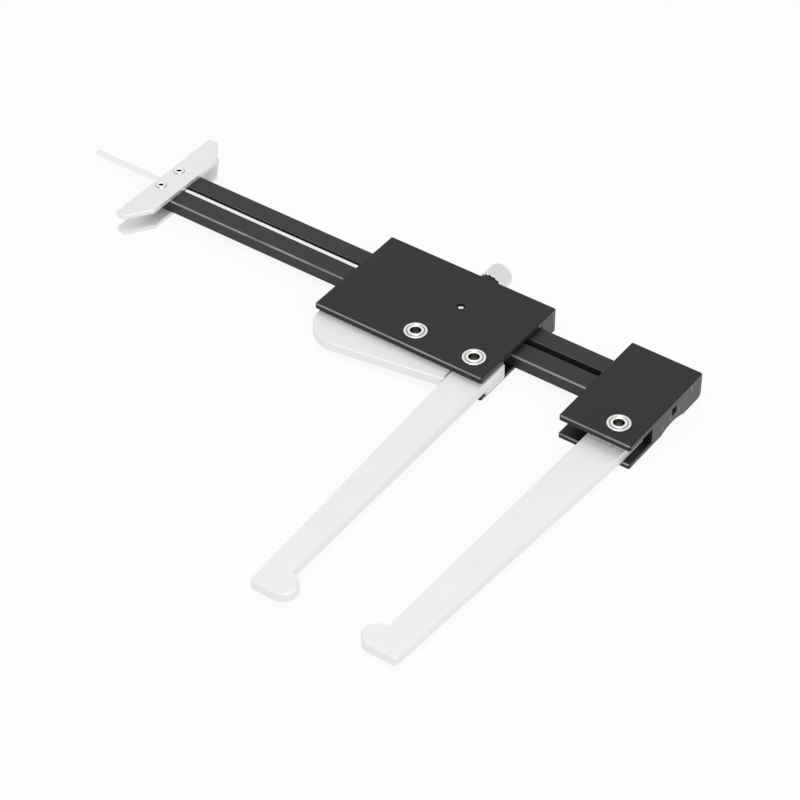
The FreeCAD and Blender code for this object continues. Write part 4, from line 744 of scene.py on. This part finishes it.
core_section = [(0.0, screw_low[1]), (TIP_RADIUS_MM, screw_low[1]), (TIP_RADIUS_MM, shoulder),
                (core_radius, shoulder), (core_radius, screw_high[1]), (0.0, screw_high[1])]
core_mesh = turned_mesh("lock_screw_core", core_section, CORE_SIDES)
core_mesh.transform(Matrix.Translation(Vector((knob_axis[0], 0.0, knob_axis[1])) * MM)
                    @ Matrix.Rotation(-math.pi / 2, 4, "X"))
core_mesh.materials.append(ground_steel)
screw_core = piece_from("lock_screw_core", core_mesh)
for part in (screw_thread, screw_core):
    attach(part, "clamp_knob")
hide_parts("lock_screw")
print("thread turns", round(thread_turns, 2))

# %% [markdown]
# ## Scale
# The reading side is the underside, which the photograph doesn't show: a millimetre scale on the rail
# and an index line on the window's bevel. Marks on anodised aluminium are burnt with a laser, which
# bleaches the dye to a pale grey. They could be a picture on the rail, but thin meshes stay sharp
# from near. A tree sets the ticks, every fifth and tenth of them longer, and the numbers are plain
# millimetres.

# %% Scale ticks
SCALE_LENGTH_MM = 140
TICK_WIDTH_MM = 0.16
MARK_PROUD_MM = 0.02
TICK_ROOT_MM = 4.0
TICK_LENGTHS_MM = {"short": 2.5, "middle": 3.5, "long": 5.0}
WINDOW_INSET_MM = 47.6
WINDOW_WIDTH_MM = 17.0
WINDOW_BEVEL_MM = 1.4
MARK_GRAIN_MM = 0.15

laser_mark, mark_tree, mark_shader, mark_place = new_material("laser_bleached_oxide", Roughness=0.6)
mark_noise = add_node(mark_tree, "ShaderNodeTexNoise", {
    "Vector": mark_place, "Scale": mm_scale(MARK_GRAIN_MM), "Detail": 2.0})
mark_colour = add_node(mark_tree, "ShaderNodeMix", {
    "Factor": mark_noise.outputs["Fac"], "A": linear("b4b4b0"), "B": linear("d2d2ce")},
    data_type="RGBA")
mark_tree.links.new(mark_colour.outputs[2], mark_shader.inputs["Base Color"])

opening = (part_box("fixed_arm")[0].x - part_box("swing_arm")[1].x) / MM
index_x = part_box("carriage_housing")[1].x / MM - WINDOW_INSET_MM
zero_x = index_x + opening
rail_low = millimetres(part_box("rail")[0])
tick_root_y = rail_low[1] + TICK_ROOT_MM

tick_tree, tick_in = new_tree("ticks_along_the_rail", {
    "Ticks": "Int", "Pitch": "Float", "Width": "Float", "Short": "Float", "Middle": "Float",
    "Long": "Float", "Proud": "Float", "Finish": "Material"})
tick_pitch = add_node(tick_tree, "ShaderNodeCombineXYZ", {"X": tick_in["Pitch"]})
tick_line = add_node(tick_tree, "GeometryNodeMeshLine", {
    "Count": tick_in["Ticks"], "Offset": tick_pitch.outputs["Vector"]})
tick_index = add_node(tick_tree, "GeometryNodeInputIndex").outputs["Index"]
tick_length = tick_in["Short"]
for every, longer in ((5.0, "Middle"), (10.0, "Long")):
    rest_of = add_node(tick_tree, "ShaderNodeMath", {0: tick_index, 1: every}, operation="MODULO")
    is_whole = add_node(tick_tree, "ShaderNodeMath", {
        0: rest_of.outputs["Value"], 1: 0.5}, operation="LESS_THAN")
    tick_length = add_node(tick_tree, "ShaderNodeMix", {
        "Factor": is_whole.outputs["Value"], "A": tick_length, "B": tick_in[longer]}).outputs[0]
tick_size = add_node(tick_tree, "ShaderNodeCombineXYZ", {
    "X": tick_in["Width"], "Y": tick_length, "Z": tick_in["Proud"]})
tick_block = add_node(tick_tree, "GeometryNodeMeshCube", {"Size": (1.0, 1.0, 1.0)})
tick_from_edge = add_node(tick_tree, "GeometryNodeTransform", {
    "Geometry": tick_block.outputs["Mesh"], "Translation": (0.0, 0.5, 0.0)})
tick_row = add_node(tick_tree, "GeometryNodeInstanceOnPoints", {
    "Points": tick_line.outputs["Mesh"], "Instance": tick_from_edge.outputs["Geometry"],
    "Scale": tick_size.outputs["Vector"]})
end_tree(tick_tree, tick_row.outputs["Instances"], tick_in["Finish"])

scale_ticks = grow(
    piece_from("scale_ticks", bpy.data.meshes.new("scale_ticks")), tick_tree,
    ticks=SCALE_LENGTH_MM + 1, pitch=-MM, width=TICK_WIDTH_MM * MM, short=TICK_LENGTHS_MM["short"] * MM,
    middle=TICK_LENGTHS_MM["middle"] * MM, long=TICK_LENGTHS_MM["long"] * MM,
    proud=2 * MARK_PROUD_MM * MM, finish=laser_mark)
scale_ticks.data.transform(Matrix.Translation(Vector((zero_x, tick_root_y, rail_low[2])) * MM))
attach(scale_ticks, "rail_unit")

# %% Scale numbers
NUMBER_HEIGHT_MM = 2.6
NUMBER_PITCH_MM = 10
NUMBER_GAP_MM = 1.0
TEXT_SIZE_PER_HEIGHT = 1.4
number_y = tick_root_y + TICK_LENGTHS_MM["long"] + NUMBER_GAP_MM
numbers = bmesh.new()
for reading in range(0, SCALE_LENGTH_MM + 1, NUMBER_PITCH_MM):
    text = bpy.data.curves.new("scale_number", "FONT")
    text.body = str(reading)
    text.align_x = "CENTER"
    text.size = NUMBER_HEIGHT_MM * TEXT_SIZE_PER_HEIGHT * MM
    text.extrude = MARK_PROUD_MM * MM
    letters = piece_from("scale_number", text)
    graph = bpy.context.evaluated_depsgraph_get()
    number_mesh = bpy.data.meshes.new_from_object(letters.evaluated_get(graph), depsgraph=graph)
    place = Vector((zero_x - reading, number_y, rail_low[2])) * MM
    number_mesh.transform(Matrix.Translation(place) @ Matrix.Rotation(math.pi, 4, "Y"))
    numbers.from_mesh(number_mesh)
    bpy.data.objects.remove(letters)
scale_numbers = piece_from("scale_numbers", finished_mesh("scale_numbers", numbers))
scale_numbers.data.materials.append(laser_mark)
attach(scale_numbers, "rail_unit")
print("zero of the scale at", round(zero_x, 2), "mm, index at", round(index_x, 2), "mm")

# %% Index line on the window's bevel
INDEX_MARGIN_MM = 0.12
INDEX_WIDTH_MM = 1.5 * TICK_WIDTH_MM
rail_middle_y = middle_of("rail")[1]
bevel_foot = rail_middle_y - WINDOW_WIDTH_MM / 2 - WINDOW_BEVEL_MM
index_length = (WINDOW_BEVEL_MM - 2 * INDEX_MARGIN_MM) * math.sqrt(2)
index_shape = bmesh.new()
bmesh.ops.create_cube(index_shape, size=1.0)
bmesh.ops.transform(index_shape, verts=index_shape.verts, matrix=(
    Matrix.Translation(Vector((index_x, bevel_foot + WINDOW_BEVEL_MM / 2, WINDOW_BEVEL_MM / 2)) * MM)
    @ Matrix.Rotation(math.radians(45), 4, "X")
    @ Matrix.Diagonal((INDEX_WIDTH_MM * MM, index_length * MM, 2 * MARK_PROUD_MM * MM, 1.0))))
index_line = piece_from("index_line", finished_mesh("index_line", index_shape))
index_line.data.materials.append(laser_mark)
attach(index_line, "carriage")
print("index line", round(index_length, 2), "mm long")

# %% [markdown]
# ## Floor and light
# The tool lies on a plain pale floor under two soft lamps. The camera and the metal see a white
# floor and a white room, which is how a product is photographed on a sweep of white paper, and a
# soft shadow stays under the pieces. Overhead the room is a little greyer, so that the plates' tops
# are darker than their sides.

# %% Floor
FLOOR_GAP_MM = 0.15
FLOOR_WHITE_SHARE = 0.9
FLOOR_SIZE = 6.0


def seen_by_eye_or_metal(tree):
    """One for rays of the camera and of metal or glass, and nought for light that falls on the tool."""
    light_path = add_node(tree, "ShaderNodeLightPath").outputs
    camera_or_metal = add_node(tree, "ShaderNodeMath", {
        0: light_path["Is Camera Ray"], 1: light_path["Is Glossy Ray"]}, operation="MAXIMUM")
    return add_node(tree, "ShaderNodeMath", {
        0: camera_or_metal.outputs["Value"], 1: light_path["Is Transmission Ray"]},
        operation="MAXIMUM").outputs["Value"]


bpy.ops.mesh.primitive_plane_add(size=FLOOR_SIZE, location=(0.0, 0.0, -FLOOR_GAP_MM * MM))
floor = bpy.context.object
floor.name = "floor"
paper = bpy.data.materials.new("white_paper")
paper.use_nodes = True
paper_tree = paper.node_tree
paper_tree.nodes.clear()
white_share = add_node(paper_tree, "ShaderNodeMath", {
    0: seen_by_eye_or_metal(paper_tree), 1: FLOOR_WHITE_SHARE}, operation="MULTIPLY")
matt = add_node(paper_tree, "ShaderNodeBsdfDiffuse", {"Color": linear("f2f2f2")})
white = add_node(paper_tree, "ShaderNodeEmission", {"Color": linear("ffffff"), "Strength": 1.0})
paper_mix = add_node(paper_tree, "ShaderNodeMixShader", {
    0: white_share.outputs["Value"], 1: matt.outputs["BSDF"], 2: white.outputs["Emission"]})
add_node(paper_tree, "ShaderNodeOutputMaterial", {"Surface": paper_mix.outputs["Shader"]})
floor.data.materials.append(paper)
print("floor", FLOOR_SIZE, "m wide,", FLOOR_GAP_MM, "mm under the tool")

# %% Room and lamps
ROOM_LIGHT = 0.55
ROOM_OVERHEAD = 0.92
room = bpy.context.scene.world or bpy.data.worlds.new("room")
bpy.context.scene.world = room
room.use_nodes = True
room_tree = room.node_tree
room_tree.nodes.clear()
room_side = add_node(room_tree, "ShaderNodeSeparateXYZ", {
    0: add_node(room_tree, "ShaderNodeTexCoord").outputs["Generated"]})
room_overhead = add_node(room_tree, "ShaderNodeMapRange", {
    "Value": room_side.outputs["Z"], "From Min": 0.1, "From Max": 0.6, "To Min": 1.0,
    "To Max": ROOM_OVERHEAD})
room_strength = add_node(room_tree, "ShaderNodeMix", {
    "Factor": seen_by_eye_or_metal(room_tree), "A": ROOM_LIGHT,
    "B": room_overhead.outputs["Result"]})
room_colour = add_node(room_tree, "ShaderNodeBackground", {
    "Color": linear("ffffff"), "Strength": room_strength.outputs[0]})
add_node(room_tree, "ShaderNodeOutputWorld", {"Surface": room_colour.outputs["Background"]})

TOOL_MIDDLE = Vector((-0.12, -0.04, 0.0))
LAMPS = {
    "top_lamp": ((0.1, -0.35, 1.3), 0.8, 5.5),
    "fill_lamp": ((0.9, -0.5, 0.6), 0.8, 2.5),
}
for lamp_name, (offset, width, watts) in LAMPS.items():
    lamp_data = bpy.data.lights.new(lamp_name, "AREA")
    lamp_data.size = width
    lamp_data.energy = watts
    lamp = bpy.data.objects.new(lamp_name, lamp_data)
    lamp.location = TOOL_MIDDLE + Vector(offset)
    lamp.rotation_euler = (TOOL_MIDDLE - lamp.location).to_track_quat("-Z", "Y").to_euler()
    bpy.context.scene.collection.objects.link(lamp)
print("lamps", list(LAMPS))
